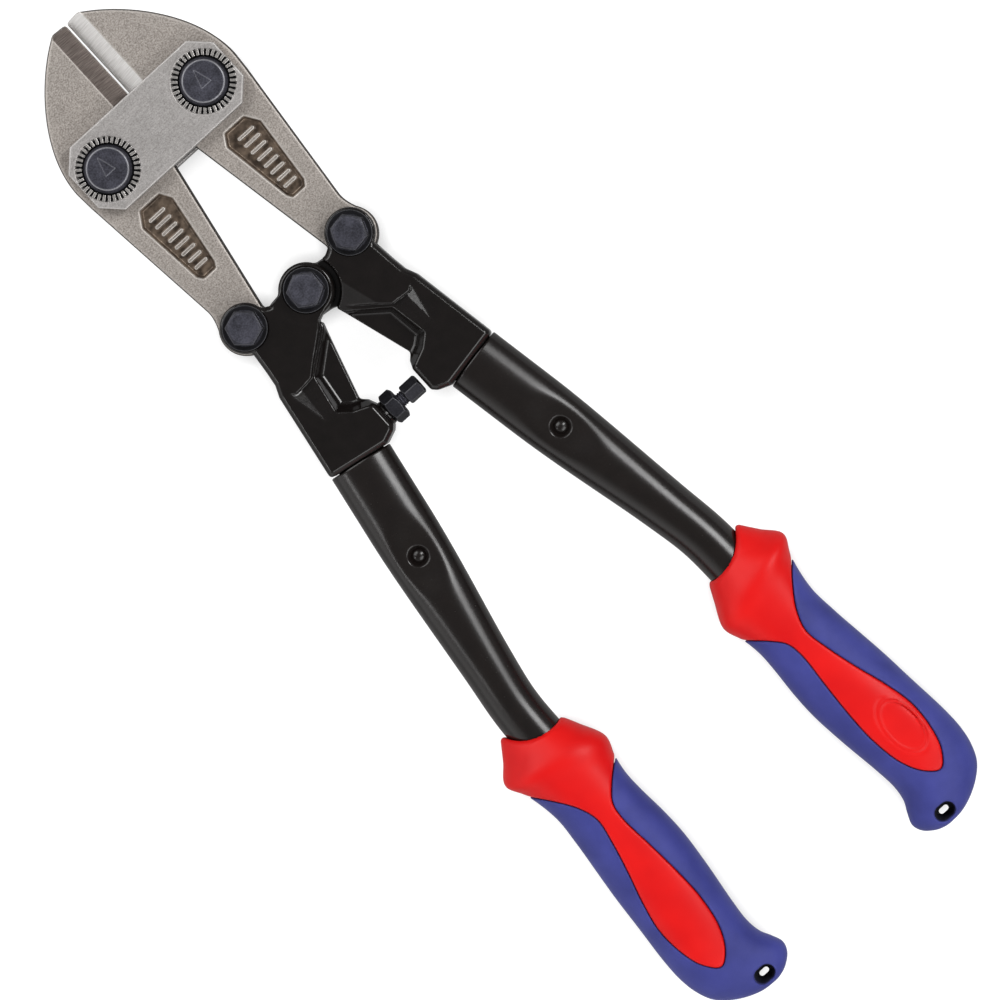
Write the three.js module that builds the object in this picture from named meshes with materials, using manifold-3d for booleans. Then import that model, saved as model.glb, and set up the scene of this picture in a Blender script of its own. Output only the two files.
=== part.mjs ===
// Bolt cutters of the 350 mm class, lying flat with the blades together.
//
// The tool is two equal halves, each a jaw and a handle, held by a strap of two plates:
//   strap   two octagonal plates, one above and one below the jaws, on two jaw bolts
//   jaws    each turns on its jaw bolt; its tail is held in the fork of a yoke by a pivot bolt
//   yokes   meet in a half lap on the centre bolt and push the tails apart when they close
//   handles a bent steel tube staked on each yoke's tang, with a two-shot moulded grip
//
// Millimetres. +Y runs from the grips to the blade tips, +X to the right-hand handle and
// +Z up through the thickness. The drawing origin is midway between the jaw bolts on the
// tool's middle plane; the exported group is moved to the bottom centre of its box.
// The left half is the right half turned over about the Y axis.

import * as THREE from 'three';
import { mergeVertices } from 'three/addons/utils/BufferGeometryUtils.js';
import Module from 'manifold-3d';

const wasm = await Module();
wasm.setup();

// ---------------------------------------------------------------- driving dimensions

const RUNNING_GAP = 0.3; // between pieces that turn or slide on each other
const SEAT_GAP = 0.1; // under bolt heads and nuts
const ROUND = 20; // sides of a bore, shank or boss
const SECTION = 16; // points round a tube or grip section
const OVER = 5; // how far a cutting body reaches past the face it cuts
const TANG_STEP = 10; // length of one step of the lofts along the handle
const TUBE_STEP = 15;
const SLEEVE_STEP = 17;
const ROOM_STEP = 12;

// jaws
const JAW_THICKNESS = 8;
const BLADE_LENGTH = 41.3; // jaw-bolt line to the blade tip
const TAIL_LENGTH = 62.7; // jaw-bolt line to the pivot in the tail
const EDGE_GAP = 0.5; // between the two cutting edges at rest
const EDGE_LAND = 0.2; // half height left flat along the cutting edge
const TIP_WIDTH = 5;
const TIP_ROUND = 1.1;
const BEVEL_WIDTH = 5.8;
const SHOULDER = 12.4; // jaw bolt to the outer flank
const WAIST = 5.3; // pivot line to the outer flank just above the tail boss
const WAIST_HEIGHT = 11.5; // waist above the tail pivot
const TAIL_BOSS_RADIUS = 8.3;
const INNER_RELIEF = 4.2; // middle line to the inner edge at the strap's rear edge
const POCKET_DEPTH = 1.2;

// strap and jaw bolts
const JAW_BOLT_X = 19.4; // half the distance between the jaw bolts
const STRAP_WIDTH = 25;
const STRAP_END = 10; // jaw bolt to the end of the plate
const STRAP_CORNER = 5.8;
const PLATE_THICKNESS = 4;
const PLATE_GAP = 0.25; // jaw face to plate
const JAW_BOLT_RADIUS = 5;
const JAW_FLANGE_RADIUS = 9.6; // toothed flange sunk in the upper plate
const JAW_FLANGE_HEIGHT = 1.4;
const JAW_HEAD_FOOT_RADIUS = 7.2;
const JAW_HEAD_TOP_RADIUS = 6.3;
const JAW_HEAD_HEIGHT = 1.7;
const JAW_NUT_FLATS = 16;
const JAW_NUT_HEIGHT = 4.4;
const NUT_CHAMFER = 0.08; // of the width across flats

// yokes and their pivots
const PIVOT_X = 21.2; // half the distance between the tail pivots
const CENTRE_SETBACK = 3.9; // centre pivot behind the line of the tail pivots
const YOKE_THICKNESS = 17;
const EAR_RADIUS = 7.7;
const CENTRE_BOSS_RADIUS = 8.4;
const PIVOT_PLAY = 1.7; // sideways room at the centre pivot
const SLOT_RADIUS = 9.4; // room round the jaw's tail boss
const PIVOT_RADIUS = 3.5;
const PIVOT_FLATS = 10.0;
const PIVOT_FLANGE_RADIUS = 6.9;
const PIVOT_FLANGE_HEIGHT = 0.8;
const PIVOT_HEAD_HEIGHT = 3.8;
const PIVOT_CHAMFER = 1.2;
const YOKE_REACH = 48.3; // centre pivot back to the middle of the yoke's end face
const YOKE_SPREAD = 22.8; // middle line to the middle of the yoke's end face
const YOKE_END_WIDTH = 19.9;
const WEB_THICKNESS = 6; // web between the fork and the stop pad
const PAD_X = 7.6; // middle line to the face of each stop pad

// stop screw
const STOP_BACK = 43.1; // centre pivot back to the screw's axis
const STOP_RADIUS = 2.4;
const STOP_LENGTH = 24; // threaded length behind the head
const STOP_HEAD_FLATS = 6;
const STOP_HEAD_HEIGHT = 6;
const STOP_HEAD_CHAMFER = 0.5;
const STOP_REACH = 6.3; // middle line to the end of the screw head
const LOCK_NUT_FLATS = 9.2;
const LOCK_NUT_HEIGHT = 4.6;
const LOCK_NUT_CHAMFER = 0.6;
const STOP_COLLAR_RADIUS = 4;
const STOP_COLLAR_HEIGHT = 1;

// handle tubes
const HANDLE_SPLAY = THREE.MathUtils.degToRad(10.3);
const TUBE_STRAIGHT = 72; // yoke's end face to where the bend starts
const BEND_ACROSS = 2.43; // start of the bend to its middle, outwards and back
const BEND_BACK = 15.3;
const TUBE_TAIL = 79; // middle of the bend back to the cut end of the tube
const TAIL_DRIFT = [[0.6, 0.177], [1.4, 0.532], [2.3, 0.772], [3.3, 1]]; // outwards, share of tail
const TUBE_END_WIDTH = 20.5; // flattened over the tang
const TUBE_END_HEIGHT = 14.5;
const TUBE_DIAMETER = 15.6; // in the grip
const TUBE_WALL = 1.5;
const FLAT_LENGTH = 22; // length that keeps the flattened section
const TAPER_LENGTH = 66; // from the flattened section to the round one
const TANG_LENGTH = 42;
const TANG_ROOT = 8; // length of tang buried in the yoke
const RIVET_RADIUS = 2.2;
const RIVET_PLACE = 33.5; // yoke's end face to the rivet
const RIVET_INSET = 0.3; // rivet head below the tube's crown
const RIVET_DOME = 0.6;
const RIVET_TOP_RADIUS = 1.2;

// grips
const SLEEVE_WALL = 1.6; // hard sleeve round the tube
const SLEEVE_START = 14; // middle of the bend to the sleeve's first ring
const SLEEVE_END = 83; // middle of the bend to the closed end of the sleeve
const GRIP_SQUARENESS = 2.3; // exponent of the section's superellipse
const LANYARD = { x: -1.8, y: -108.9, length: 6.8, width: 5.2 };
const BADGE = { x: 6.2, y: -81, halfWidth: 5.6, halfLength: 10, depth: 1 };

// ---------------------------------------------------------------- places that follow

const deck = JAW_THICKNESS / 2 + PLATE_GAP; // inner face of a strap plate
const strapTop = deck + PLATE_THICKNESS;
const strapHalf = STRAP_WIDTH / 2;
const cheekTop = YOKE_THICKNESS / 2;
const slotHalf = JAW_THICKNESS / 2 + RUNNING_GAP;
const pivotTop = cheekTop + SEAT_GAP + PIVOT_FLANGE_HEIGHT + PIVOT_HEAD_HEIGHT;
const jawPivot = new THREE.Vector2(JAW_BOLT_X, 0);
const tailPivot = new THREE.Vector2(PIVOT_X, -TAIL_LENGTH);
const centrePivot = new THREE.Vector2(0, -TAIL_LENGTH - CENTRE_SETBACK);
const stopY = centrePivot.y - STOP_BACK;
const yokeEnd = new THREE.Vector2(YOKE_SPREAD, centrePivot.y - YOKE_REACH);
const handleLine = new THREE.Vector2(Math.sin(HANDLE_SPLAY), -Math.cos(HANDLE_SPLAY));
const handleSide = new THREE.Vector2(Math.cos(HANDLE_SPLAY), Math.sin(HANDLE_SPLAY));
const tubeRadius = TUBE_DIAMETER / 2;
const gripHalfHeight = pivotTop; // grips and pivot nuts lie on one plane
const bend = alongHandle(TUBE_STRAIGHT).add(new THREE.Vector2(BEND_ACROSS, -BEND_BACK));

/** A point at a distance from the yoke's end face along the handle, and to its outer side. */
function alongHandle(distance, side = 0) {
  return yokeEnd.clone().addScaledVector(handleLine, distance).addScaledVector(handleSide, side);
}

// ---------------------------------------------------------------- materials

function finish(color, roughness, metalness) {
  return new THREE.MeshStandardMaterial({ color, roughness, metalness });
}

const blastedSteel = finish('#8e8880', 0.55, 0.9);
const oiledSteel = finish('#3b3b41', 0.45, 0.8);
const blackEnamel = finish('#1b1a1b', 0.25, 0.1);
const redNylon = finish('#e5201e', 0.45, 0);
const blueRubber = finish('#43479a', 0.75, 0);

// ---------------------------------------------------------------- solids

/** A closed three.js geometry as a solid that can be joined and cut. */
function solid(geometry) {
  const bare = geometry.clone();
  bare.deleteAttribute('normal');
  bare.deleteAttribute('uv');
  const merged = mergeVertices(bare, 1e-4);
  return new wasm.Manifold(new wasm.Mesh({
    numProp: 3,
    vertProperties: new Float32Array(merged.attributes.position.array),
    triVerts: new Uint32Array(merged.index.array),
  }));
}

/** A solid as a named mesh. */
function piece(name, body, material) {
  const { vertProperties, triVerts } = body.getMesh();
  const geometry = new THREE.BufferGeometry();
  geometry.setAttribute('position', new THREE.BufferAttribute(vertProperties, 3));
  geometry.setIndex(new THREE.BufferAttribute(triVerts, 1));
  geometry.computeVertexNormals();
  const mesh = new THREE.Mesh(geometry, material);
  mesh.name = name;
  return mesh;
}

/** An outline in the XY plane, pulled up from one height to another. */
function prism(outline, bottom, top, curveSegments = 6) {
  const shape = Array.isArray(outline) ? new THREE.Shape(outline) : outline;
  const geometry = new THREE.ExtrudeGeometry(shape, {
    depth: top - bottom, bevelEnabled: false, curveSegments,
  });
  return solid(geometry.translate(0, 0, bottom));
}

/** A round shank or boss with its axis along Z. */
function shank(centre, radius, bottom, top, footRadius = radius) {
  const geometry = new THREE.CylinderGeometry(radius, footRadius, top - bottom, ROUND);
  geometry.rotateX(Math.PI / 2).translate(centre.x, centre.y, (top + bottom) / 2);
  return solid(geometry);
}

/** The bore that a faceted shank turns in with the stated gap all round. */
function bore(centre, radius, gap, bottom, top) {
  return shank(centre, (radius + gap) / Math.cos(Math.PI / ROUND), bottom, top);
}

/** A hexagon with its upper corners turned off, axis along Z. */
function hexagon(centre, flats, bottom, top, chamfer) {
  const corner = flats / Math.sqrt(3);
  const height = top - bottom;
  const profile = [
    new THREE.Vector2(0, 0),
    new THREE.Vector2(corner, 0),
    new THREE.Vector2(corner, height - chamfer / 2),
    new THREE.Vector2(corner - chamfer, height),
    new THREE.Vector2(0, height),
  ];
  const geometry = new THREE.LatheGeometry(profile, 6);
  return solid(geometry.rotateX(Math.PI / 2).translate(centre.x, centre.y, bottom));
}

/** A skin over equal rings of points, closed by a fan at each end. */
function loft(rings) {
  const count = rings[0].length;
  const positions = rings.flat().flatMap((p) => [p.x, p.y, p.z]);
  const indices = [];
  for (let ring = 0; ring < rings.length - 1; ring += 1) {
    for (let k = 0; k < count; k += 1) {
      const a = ring * count + k;
      const b = ring * count + (k + 1) % count;
      indices.push(a, b, a + count, b, b + count, a + count);
    }
  }
  const last = (rings.length - 1) * count;
  for (let k = 1; k < count - 1; k += 1) {
    indices.push(0, k + 1, k);
    indices.push(last, last + k, last + k + 1);
  }
  const geometry = new THREE.BufferGeometry();
  geometry.setAttribute('position', new THREE.Float32BufferAttribute(positions, 3));
  geometry.setIndex(indices);
  return solid(geometry);
}

/** An outline moved outwards by a distance, corner by corner. */
function grown(outline, distance) {
  const outward = THREE.ShapeUtils.isClockWise(outline) ? -1 : 1;
  return outline.map((point, k) => {
    const before = outline[(k + outline.length - 1) % outline.length];
    const after = outline[(k + 1) % outline.length];
    const inEdge = point.clone().sub(before).normalize();
    const outEdge = after.clone().sub(point).normalize();
    const normal = new THREE.Vector2(inEdge.y + outEdge.y, -inEdge.x - outEdge.x).normalize();
    const stretch = 1 / Math.max(0.5, normal.dot(new THREE.Vector2(inEdge.y, -inEdge.x)));
    return point.clone().addScaledVector(normal, outward * distance * stretch);
  });
}

function points(...pairs) {
  return pairs.map(([x, y]) => new THREE.Vector2(x, y));
}

// ---------------------------------------------------------------- strap

/** An octagonal plate; the upper one is sunk round each jaw bolt for its toothed flange. */
function strapPlate(bottom, top, sunk) {
  const x = JAW_BOLT_X + STRAP_END;
  const y = strapHalf;
  const c = STRAP_CORNER;
  const outline = points([x - c, -y], [x, c - y], [x, y - c], [x - c, y],
    [c - x, y], [-x, y - c], [-x, c - y], [c - x, -y]);
  let plate = prism(outline, bottom, top);
  for (const side of [-1, 1]) {
    const centre = new THREE.Vector2(side * JAW_BOLT_X, 0);
    const hole = bore(centre, JAW_BOLT_RADIUS, RUNNING_GAP, bottom - OVER, top + OVER);
    plate = plate.subtract(hole);
    if (sunk) {
      const floor = top - JAW_FLANGE_HEIGHT - SEAT_GAP;
      plate = plate.subtract(bore(centre, JAW_FLANGE_RADIUS, RUNNING_GAP, floor, top + OVER));
    }
  }
  return plate;
}

/** Round head with a sunk flange, and a shank through both plates and the jaw. */
function jawBolt(centre) {
  const headTop = strapTop + JAW_HEAD_HEIGHT;
  const flangeMiddle = strapTop - JAW_FLANGE_HEIGHT / 2;
  const end = -strapTop - SEAT_GAP - JAW_NUT_HEIGHT - RUNNING_GAP;
  return shank(centre, JAW_BOLT_RADIUS, end, flangeMiddle)
    .add(shank(centre, JAW_FLANGE_RADIUS, strapTop - JAW_FLANGE_HEIGHT, strapTop))
    .add(shank(centre, JAW_HEAD_TOP_RADIUS, flangeMiddle, headTop, JAW_HEAD_FOOT_RADIUS));
}

/** Hexagon nut below a face, its turned-off corners down, away from that face. */
function nut(centre, flats, top, height, shankRadius) {
  const origin = new THREE.Vector2(0, 0);
  return hexagon(origin, flats, 0, height, flats * NUT_CHAMFER)
    .rotate([180, 0, 0])
    .translate([centre.x, centre.y, top])
    .subtract(bore(centre, shankRadius, SEAT_GAP, top - height - OVER, top + OVER));
}

function jawNut(centre) {
  return nut(centre, JAW_NUT_FLATS, -strapTop - SEAT_GAP, JAW_NUT_HEIGHT, JAW_BOLT_RADIUS);
}

/** Flanged hexagon bolt through a yoke, head up. */
function pivotBolt(centre) {
  const seat = cheekTop + SEAT_GAP;
  const flangeMiddle = seat + PIVOT_FLANGE_HEIGHT / 2;
  return shank(centre, PIVOT_RADIUS, RUNNING_GAP - pivotTop, flangeMiddle)
    .add(shank(centre, PIVOT_FLANGE_RADIUS, seat, seat + PIVOT_FLANGE_HEIGHT))
    .add(hexagon(centre, PIVOT_FLATS, flangeMiddle, pivotTop, PIVOT_CHAMFER));
}

/** The flanged nut on its lower end. */
function pivotNut(centre) {
  const seat = -cheekTop - SEAT_GAP;
  const flangeMiddle = seat - PIVOT_FLANGE_HEIGHT / 2;
  const flange = shank(centre, PIVOT_FLANGE_RADIUS, seat - PIVOT_FLANGE_HEIGHT, seat)
    .subtract(bore(centre, PIVOT_RADIUS, SEAT_GAP, -pivotTop, seat + OVER));
  return nut(centre, PIVOT_FLATS, flangeMiddle, pivotTop + flangeMiddle, PIVOT_RADIUS).add(flange);
}

// ---------------------------------------------------------------- jaws

/** Outline of the right-hand jaw, from the tip down the outer flank and up the inner edge. */
function jawOutline() {
  const edge = EDGE_GAP / 2;
  const flank = JAW_BOLT_X + SHOULDER;
  const waist = new THREE.Vector2(PIVOT_X + WAIST, WAIST_HEIGHT - TAIL_LENGTH);
  const leave = THREE.MathUtils.degToRad(36);
  const arrive = THREE.MathUtils.degToRad(166);
  const shape = new THREE.Shape();
  shape.moveTo(edge + TIP_ROUND, BLADE_LENGTH);
  shape.lineTo(edge + TIP_WIDTH - TIP_ROUND, BLADE_LENGTH);
  const corner = edge + TIP_WIDTH;
  shape.quadraticCurveTo(corner, BLADE_LENGTH, corner + TIP_ROUND, BLADE_LENGTH - 0.8);
  shape.bezierCurveTo(edge + 17.8, 0.8 * BLADE_LENGTH, flank, 0.41 * BLADE_LENGTH, flank, 1);
  shape.lineTo(flank - 0.4, -5);
  shape.lineTo(waist.x, waist.y);
  const bossX = PIVOT_X + TAIL_BOSS_RADIUS * Math.cos(leave);
  const bossY = TAIL_BOSS_RADIUS * Math.sin(leave) - TAIL_LENGTH;
  shape.quadraticCurveTo(waist.x - 0.3, waist.y - 2.8, bossX, bossY);
  shape.absarc(PIVOT_X, -TAIL_LENGTH, TAIL_BOSS_RADIUS, leave, arrive, true);
  shape.lineTo(INNER_RELIEF, -strapHalf);
  shape.lineTo(edge, strapHalf);
  shape.lineTo(edge, BLADE_LENGTH - TIP_ROUND);
  shape.quadraticCurveTo(edge, BLADE_LENGTH, edge + TIP_ROUND, BLADE_LENGTH);
  return shape;
}

/** The tapered recess in each face of a jaw's arm, behind the strap. */
function pocketOutline() {
  const front = -strapHalf - 2.6;
  const back = WAIST_HEIGHT + 7.9 - TAIL_LENGTH;
  return points(
    [JAW_BOLT_X - 8.5, front - 3.7], [JAW_BOLT_X - 6.2, front],
    [JAW_BOLT_X + 1.8, front], [JAW_BOLT_X + 4.8, front - 4.6],
    [PIVOT_X + 0.8, back + 1.8], [PIVOT_X - 0.6, back],
    [PIVOT_X - 5.7, back], [PIVOT_X - 6.8, back + 2],
  );
}

/** Material ground off one face to leave the bevel that runs to the cutting edge. */
function bevelCut(side) {
  const edge = EDGE_GAP / 2;
  const slope = (JAW_THICKNESS / 2 - EDGE_LAND) / BEVEL_WIDTH;
  const shape = new THREE.Shape(points(
    [edge - OVER, side * (EDGE_LAND - slope * OVER)],
    [edge + BEVEL_WIDTH, side * JAW_THICKNESS / 2],
    [edge + BEVEL_WIDTH, side * JAW_THICKNESS],
    [edge - OVER, side * JAW_THICKNESS],
  ));
  const length = BLADE_LENGTH + OVER - strapHalf / 2;
  const geometry = new THREE.ExtrudeGeometry(shape, { depth: length, bevelEnabled: false });
  return solid(geometry.rotateX(Math.PI / 2).translate(0, BLADE_LENGTH + OVER, 0));
}

/** Drop-forged jaw: blade, arm with pockets, and tail boss. */
function jaw() {
  const half = JAW_THICKNESS / 2;
  const pocket = pocketOutline();
  return prism(jawOutline(), -half, half, 8)
    .subtract(bevelCut(1))
    .subtract(bevelCut(-1))
    .subtract(prism(pocket, half - POCKET_DEPTH, half + OVER))
    .subtract(prism(pocket, -half - OVER, POCKET_DEPTH - half))
    .subtract(bore(jawPivot, JAW_BOLT_RADIUS, RUNNING_GAP, -half - OVER, half + OVER))
    .subtract(bore(tailPivot, PIVOT_RADIUS, RUNNING_GAP, -half - OVER, half + OVER));
}

// ---------------------------------------------------------------- yokes

/** Outline of the yoke's casting without its ear and centre boss. */
function yokeOutline() {
  const { x: px, y: py } = tailPivot;
  const cy = centrePivot.y;
  const outerEnd = alongHandle(0, YOKE_END_WIDTH / 2);
  const innerEnd = alongHandle(0, -YOKE_END_WIDTH / 2);
  return points(
    [0, cy], [6, cy + 5], [8.5, cy + 4], [px - 10.2, py + 0.1], [px - 7.6, py + 1.2], [px, py],
    [px + 3.5, py - 7.4], [px + 4.1, cy - 10], [px + 4.9, cy - 15], [px + 6.5, cy - 18.4],
    [outerEnd.x, outerEnd.y], [innerEnd.x, innerEnd.y],
    [PAD_X + 1.4, stopY - 5.4], [PAD_X, stopY - 4], [PAD_X, stopY + 4.1], [PAD_X + 0.9, stopY + 6.7],
    [10.4, stopY + 8.6], [2.75, cy - 9],
  );
}

/** What is cut away beside the web, above and below it, open towards the other handle. */
function webRecessOutline() {
  const cy = centrePivot.y;
  return points(
    [1.6, cy - 8.4], [16, cy - 20.7], [17.6, stopY + 9.9], [14.2, stopY + 7.1],
    [PAD_X - 1, stopY + 3.9], [-OVER, stopY + 8], [-OVER, cy - 12],
  );
}

/** Room for the jaw's tail: its boss, and the arm on its way from ahead to the outer side. */
function tailSlot() {
  const far = 3 * SLOT_RADIUS;
  const { x, y } = tailPivot;
  const near = x - SLOT_RADIUS;
  const sweep = points([near, y], [x + far, y], [x + far, y + far], [near, y + far]);
  return shank(tailPivot, SLOT_RADIUS, -slotHalf, slotHalf).add(prism(sweep, -slotHalf, slotHalf));
}

/** Flat-oval or round section of the handle at a distance from the yoke, shrunk by an inset. */
function handleRing(curve, distance, inset) {
  const length = curve.getLength();
  const u = THREE.MathUtils.clamp(distance / length, 0, 1);
  const along = curve.getTangentAt(u);
  const centre = curve.getPointAt(u).addScaledVector(along, distance - u * length);
  const taper = THREE.MathUtils.smoothstep(distance, FLAT_LENGTH, FLAT_LENGTH + TAPER_LENGTH);
  const width = THREE.MathUtils.lerp(TUBE_END_WIDTH, TUBE_DIAMETER, taper);
  const height = THREE.MathUtils.lerp(TUBE_END_HEIGHT, TUBE_DIAMETER, taper);
  const side = new THREE.Vector3(-along.y, along.x, 0);
  const ring = [];
  for (let k = 0; k < SECTION; k += 1) {
    const angle = ((k + 0.5) / SECTION) * 2 * Math.PI;
    const radius = height / 2 - inset;
    const across = radius * Math.cos(angle) + (Math.sign(Math.cos(angle)) * (width - height)) / 2;
    ring.push(centre.clone().addScaledVector(side, across).setZ(radius * Math.sin(angle)));
  }
  return ring;
}

/** Middle line of the handle tube, from the yoke's end face to the cut end in the grip. */
function handleCurve() {
  const straight = [0, TUBE_STRAIGHT * 0.55, TUBE_STRAIGHT].map((distance) => alongHandle(distance));
  const tail = TAIL_DRIFT.map(
    ([drift, share]) => new THREE.Vector2(bend.x + drift, bend.y - share * TUBE_TAIL),
  );
  const route = [...straight, bend, ...tail];
  return new THREE.CatmullRomCurve3(route.map((p) => new THREE.Vector3(p.x, p.y, 0)));
}

const tubeLine = handleCurve();
const tubeLength = tubeLine.getLength();
const bendPlace = TUBE_STRAIGHT + Math.hypot(BEND_ACROSS, BEND_BACK);

/** Rings along a stretch of the handle, close together where it tapers and bends. */
function handleStretch(from, to, inset, step) {
  const count = Math.max(1, Math.round((to - from) / step));
  const rings = [];
  for (let k = 0; k <= count; k += 1) {
    rings.push(handleRing(tubeLine, from + ((to - from) * k) / count, inset));
  }
  return loft(rings);
}

/** Right-hand yoke: fork, lower half of the centre lap, web, stop pad and tang. */
function yoke(withScrew) {
  const half = cheekTop;
  const relief = CENTRE_BOSS_RADIUS + PIVOT_PLAY + RUNNING_GAP;
  const recess = webRecessOutline();
  const rivet = alongHandle(RIVET_PLACE);
  const centreGap = withScrew ? SEAT_GAP : PIVOT_PLAY;
  let body = prism(yokeOutline(), -half, half)
    .add(shank(tailPivot, EAR_RADIUS, -half, half))
    .add(handleStretch(-TANG_ROOT, TANG_LENGTH, TUBE_WALL + RUNNING_GAP, TANG_STEP))
    .subtract(prism(recess, WEB_THICKNESS / 2, half + OVER))
    .subtract(prism(recess, -half - OVER, -WEB_THICKNESS / 2))
    .subtract(shank(centrePivot, relief, -half - OVER, half + OVER))
    .add(lapBoss(relief))
    .subtract(tailSlot())
    .subtract(bore(tailPivot, PIVOT_RADIUS, SEAT_GAP, -half - OVER, half + OVER))
    .subtract(bore(rivet, RIVET_RADIUS, SEAT_GAP, -half - OVER, half + OVER))
    .subtract(bore(centrePivot, PIVOT_RADIUS, centreGap, -half - OVER, half + OVER));
  if (withScrew) {
    const collar = screwAxis(STOP_COLLAR_RADIUS, PAD_X - STOP_COLLAR_HEIGHT, PAD_X + OVER / 2);
    body = body.add(collar).subtract(screwHole(0, STOP_LENGTH + OVER));
  }
  return body;
}

/** The lower half of the centre lap: a round boss and the neck that joins it to the casting. */
function lapBoss(relief) {
  const cy = centrePivot.y;
  const lapTop = -RUNNING_GAP / 2;
  const far = relief + 0.5;
  const neck = points(
    [0, cy + 5.4], [far, cy + 4.1], [far, cy - 14], [5, cy - 15.3], [2.75, cy - 9], [0, cy - 8],
  );
  return prism(neck, -cheekTop, lapTop)
    .add(shank(centrePivot, CENTRE_BOSS_RADIUS, -cheekTop, lapTop));
}

/** A round bar on the stop screw's axis, between two distances from the middle line. */
function screwAxis(radius, from, to) {
  const geometry = new THREE.CylinderGeometry(radius, radius, to - from, ROUND);
  return solid(geometry.rotateZ(Math.PI / 2).translate((from + to) / 2, stopY, 0));
}

/** The hole that the stop screw slides in, between two distances from the middle line. */
function screwHole(from, to) {
  return screwAxis((STOP_RADIUS + RUNNING_GAP) / Math.cos(Math.PI / ROUND), from, to);
}

/** Hexagon on the stop screw's axis, chamfered at its far end. */
function screwHexagon(flats, from, to, chamfer) {
  return hexagon(new THREE.Vector2(0, 0), flats, 0, to - from, chamfer)
    .rotate([0, 90, 0])
    .translate([from, stopY, 0]);
}

/** The screw in the left yoke, its head between the two pads. */
function stopScrew() {
  const foot = STOP_REACH - STOP_HEAD_HEIGHT;
  return screwAxis(STOP_RADIUS, foot - STOP_LENGTH, foot)
    .add(screwHexagon(STOP_HEAD_FLATS, foot, STOP_REACH, STOP_HEAD_CHAMFER));
}

/** Its lock nut, tight against the collar on the left pad. */
function stopLockNut() {
  const face = STOP_COLLAR_HEIGHT + SEAT_GAP - PAD_X;
  return screwHexagon(LOCK_NUT_FLATS, face, face + LOCK_NUT_HEIGHT, LOCK_NUT_CHAMFER)
    .subtract(screwHole(-PAD_X, PAD_X));
}

// ---------------------------------------------------------------- handles

/** Bent tube, flattened over the tang and round in the grip, with the rivet's holes. */
function handleTube() {
  const rivet = alongHandle(RIVET_PLACE);
  const outside = handleStretch(RUNNING_GAP, tubeLength, 0, TUBE_STEP);
  const inside = handleStretch(RUNNING_GAP - OVER, tubeLength + OVER, TUBE_WALL, TUBE_STEP);
  const rivetHole = bore(rivet, RIVET_RADIUS, SEAT_GAP, -TUBE_END_HEIGHT, TUBE_END_HEIGHT);
  return outside.subtract(inside).subtract(rivetHole);
}

/** Pin through the tube and tang, its domed ends just below the crown. */
function tubeRivet() {
  const centre = alongHandle(RIVET_PLACE);
  const top = TUBE_END_HEIGHT / 2 - RIVET_INSET;
  const shoulder = top - RIVET_DOME;
  return shank(centre, RIVET_RADIUS, -shoulder, shoulder)
    .add(shank(centre, RIVET_TOP_RADIUS, shoulder, top, RIVET_RADIUS))
    .add(shank(centre, RIVET_RADIUS, -top, -shoulder, RIVET_TOP_RADIUS));
}

// Stations of the grip from the collar's mouth to its hooked end. Each gives the material
// beside the tube on the inner and outer side with where that edge lies along the grip,
// the material above the tube, and how far the crown lags behind the sides.
const GRIP_STATIONS = [
  { inner: [0.6, -11.5], outer: [2.0, -3.9], crown: 1.4, lag: 4.5 },
  { inner: [3.0, -16.5], outer: [6.1, -9.6], crown: 3.1, lag: 2.5 },
  { inner: [6.4, -24.5], outer: [10.5, -15.6], crown: 4.8, lag: 0 },
  { inner: [4.4, -31.0], outer: [7.6, -22.2], crown: 4.5, lag: 0 },
  { inner: [3.4, -37.5], outer: [5.7, -33.0], crown: 4.0, lag: 0 },
  { inner: [3.5, -44.0], outer: [6.3, -42.5], crown: 4.0, lag: 0 },
  { inner: [4.1, -53.5], outer: [7.6, -53.5], crown: 4.6, lag: 0 },
  { inner: [4.1, -62.0], outer: [8.6, -62.0], crown: 5.0, lag: 0 },
  { inner: [2.9, -74.0], outer: [9.6, -74.0], crown: 5.4, lag: 0 },
  { inner: [1.1, -87.0], outer: [10.7, -87.0], crown: 5.3, lag: 0 },
  { inner: [0.5, -94.0], outer: [10.7, -94.0], crown: 4.7, lag: 0 },
  { inner: [1.2, -99.0], outer: [9.8, -99.5], crown: 3.9, lag: 0 },
  { inner: [2.9, -102.5], outer: [7.7, -104.5], crown: 3.0, lag: 0 },
  { inner: [4.2, -106.0], outer: [4.3, -108.0], crown: 1.9, lag: 0 },
  { inner: [3.1, -109.2], outer: [-0.4, -110.9], crown: 0.7, lag: 0 },
  { inner: [0.1, -111.7], outer: [-5.4, -112.7], crown: -1.5, lag: 0 },
  { inner: [-2.9, -113.0], outer: [-9.1, -113.1], crown: -4.0, lag: 0 },
];

/** One section of the grip: a superellipse across the line between its two edges. */
function gripRing({ inner, outer, crown, lag }) {
  const tallest = Math.max(...GRIP_STATIONS.map((station) => station.crown));
  const left = new THREE.Vector3(bend.x - tubeRadius - inner[0], bend.y + inner[1], 0);
  const right = new THREE.Vector3(bend.x + tubeRadius + outer[0], bend.y + outer[1], 0);
  const centre = left.clone().lerp(right, 0.5);
  const half = right.clone().sub(left).multiplyScalar(0.5);
  const height = gripHalfHeight + crown - tallest;
  const power = 2 / GRIP_SQUARENESS;
  const ring = [];
  for (let k = 0; k < SECTION; k += 1) {
    const angle = (k / SECTION) * 2 * Math.PI;
    const across = Math.sign(Math.cos(angle)) * Math.abs(Math.cos(angle)) ** power;
    const up = Math.sign(Math.sin(angle)) * Math.abs(Math.sin(angle)) ** power;
    const point = centre.clone().addScaledVector(half, across).setZ(height * up);
    point.y -= lag * up * up;
    ring.push(point);
  }
  return ring;
}

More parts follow.
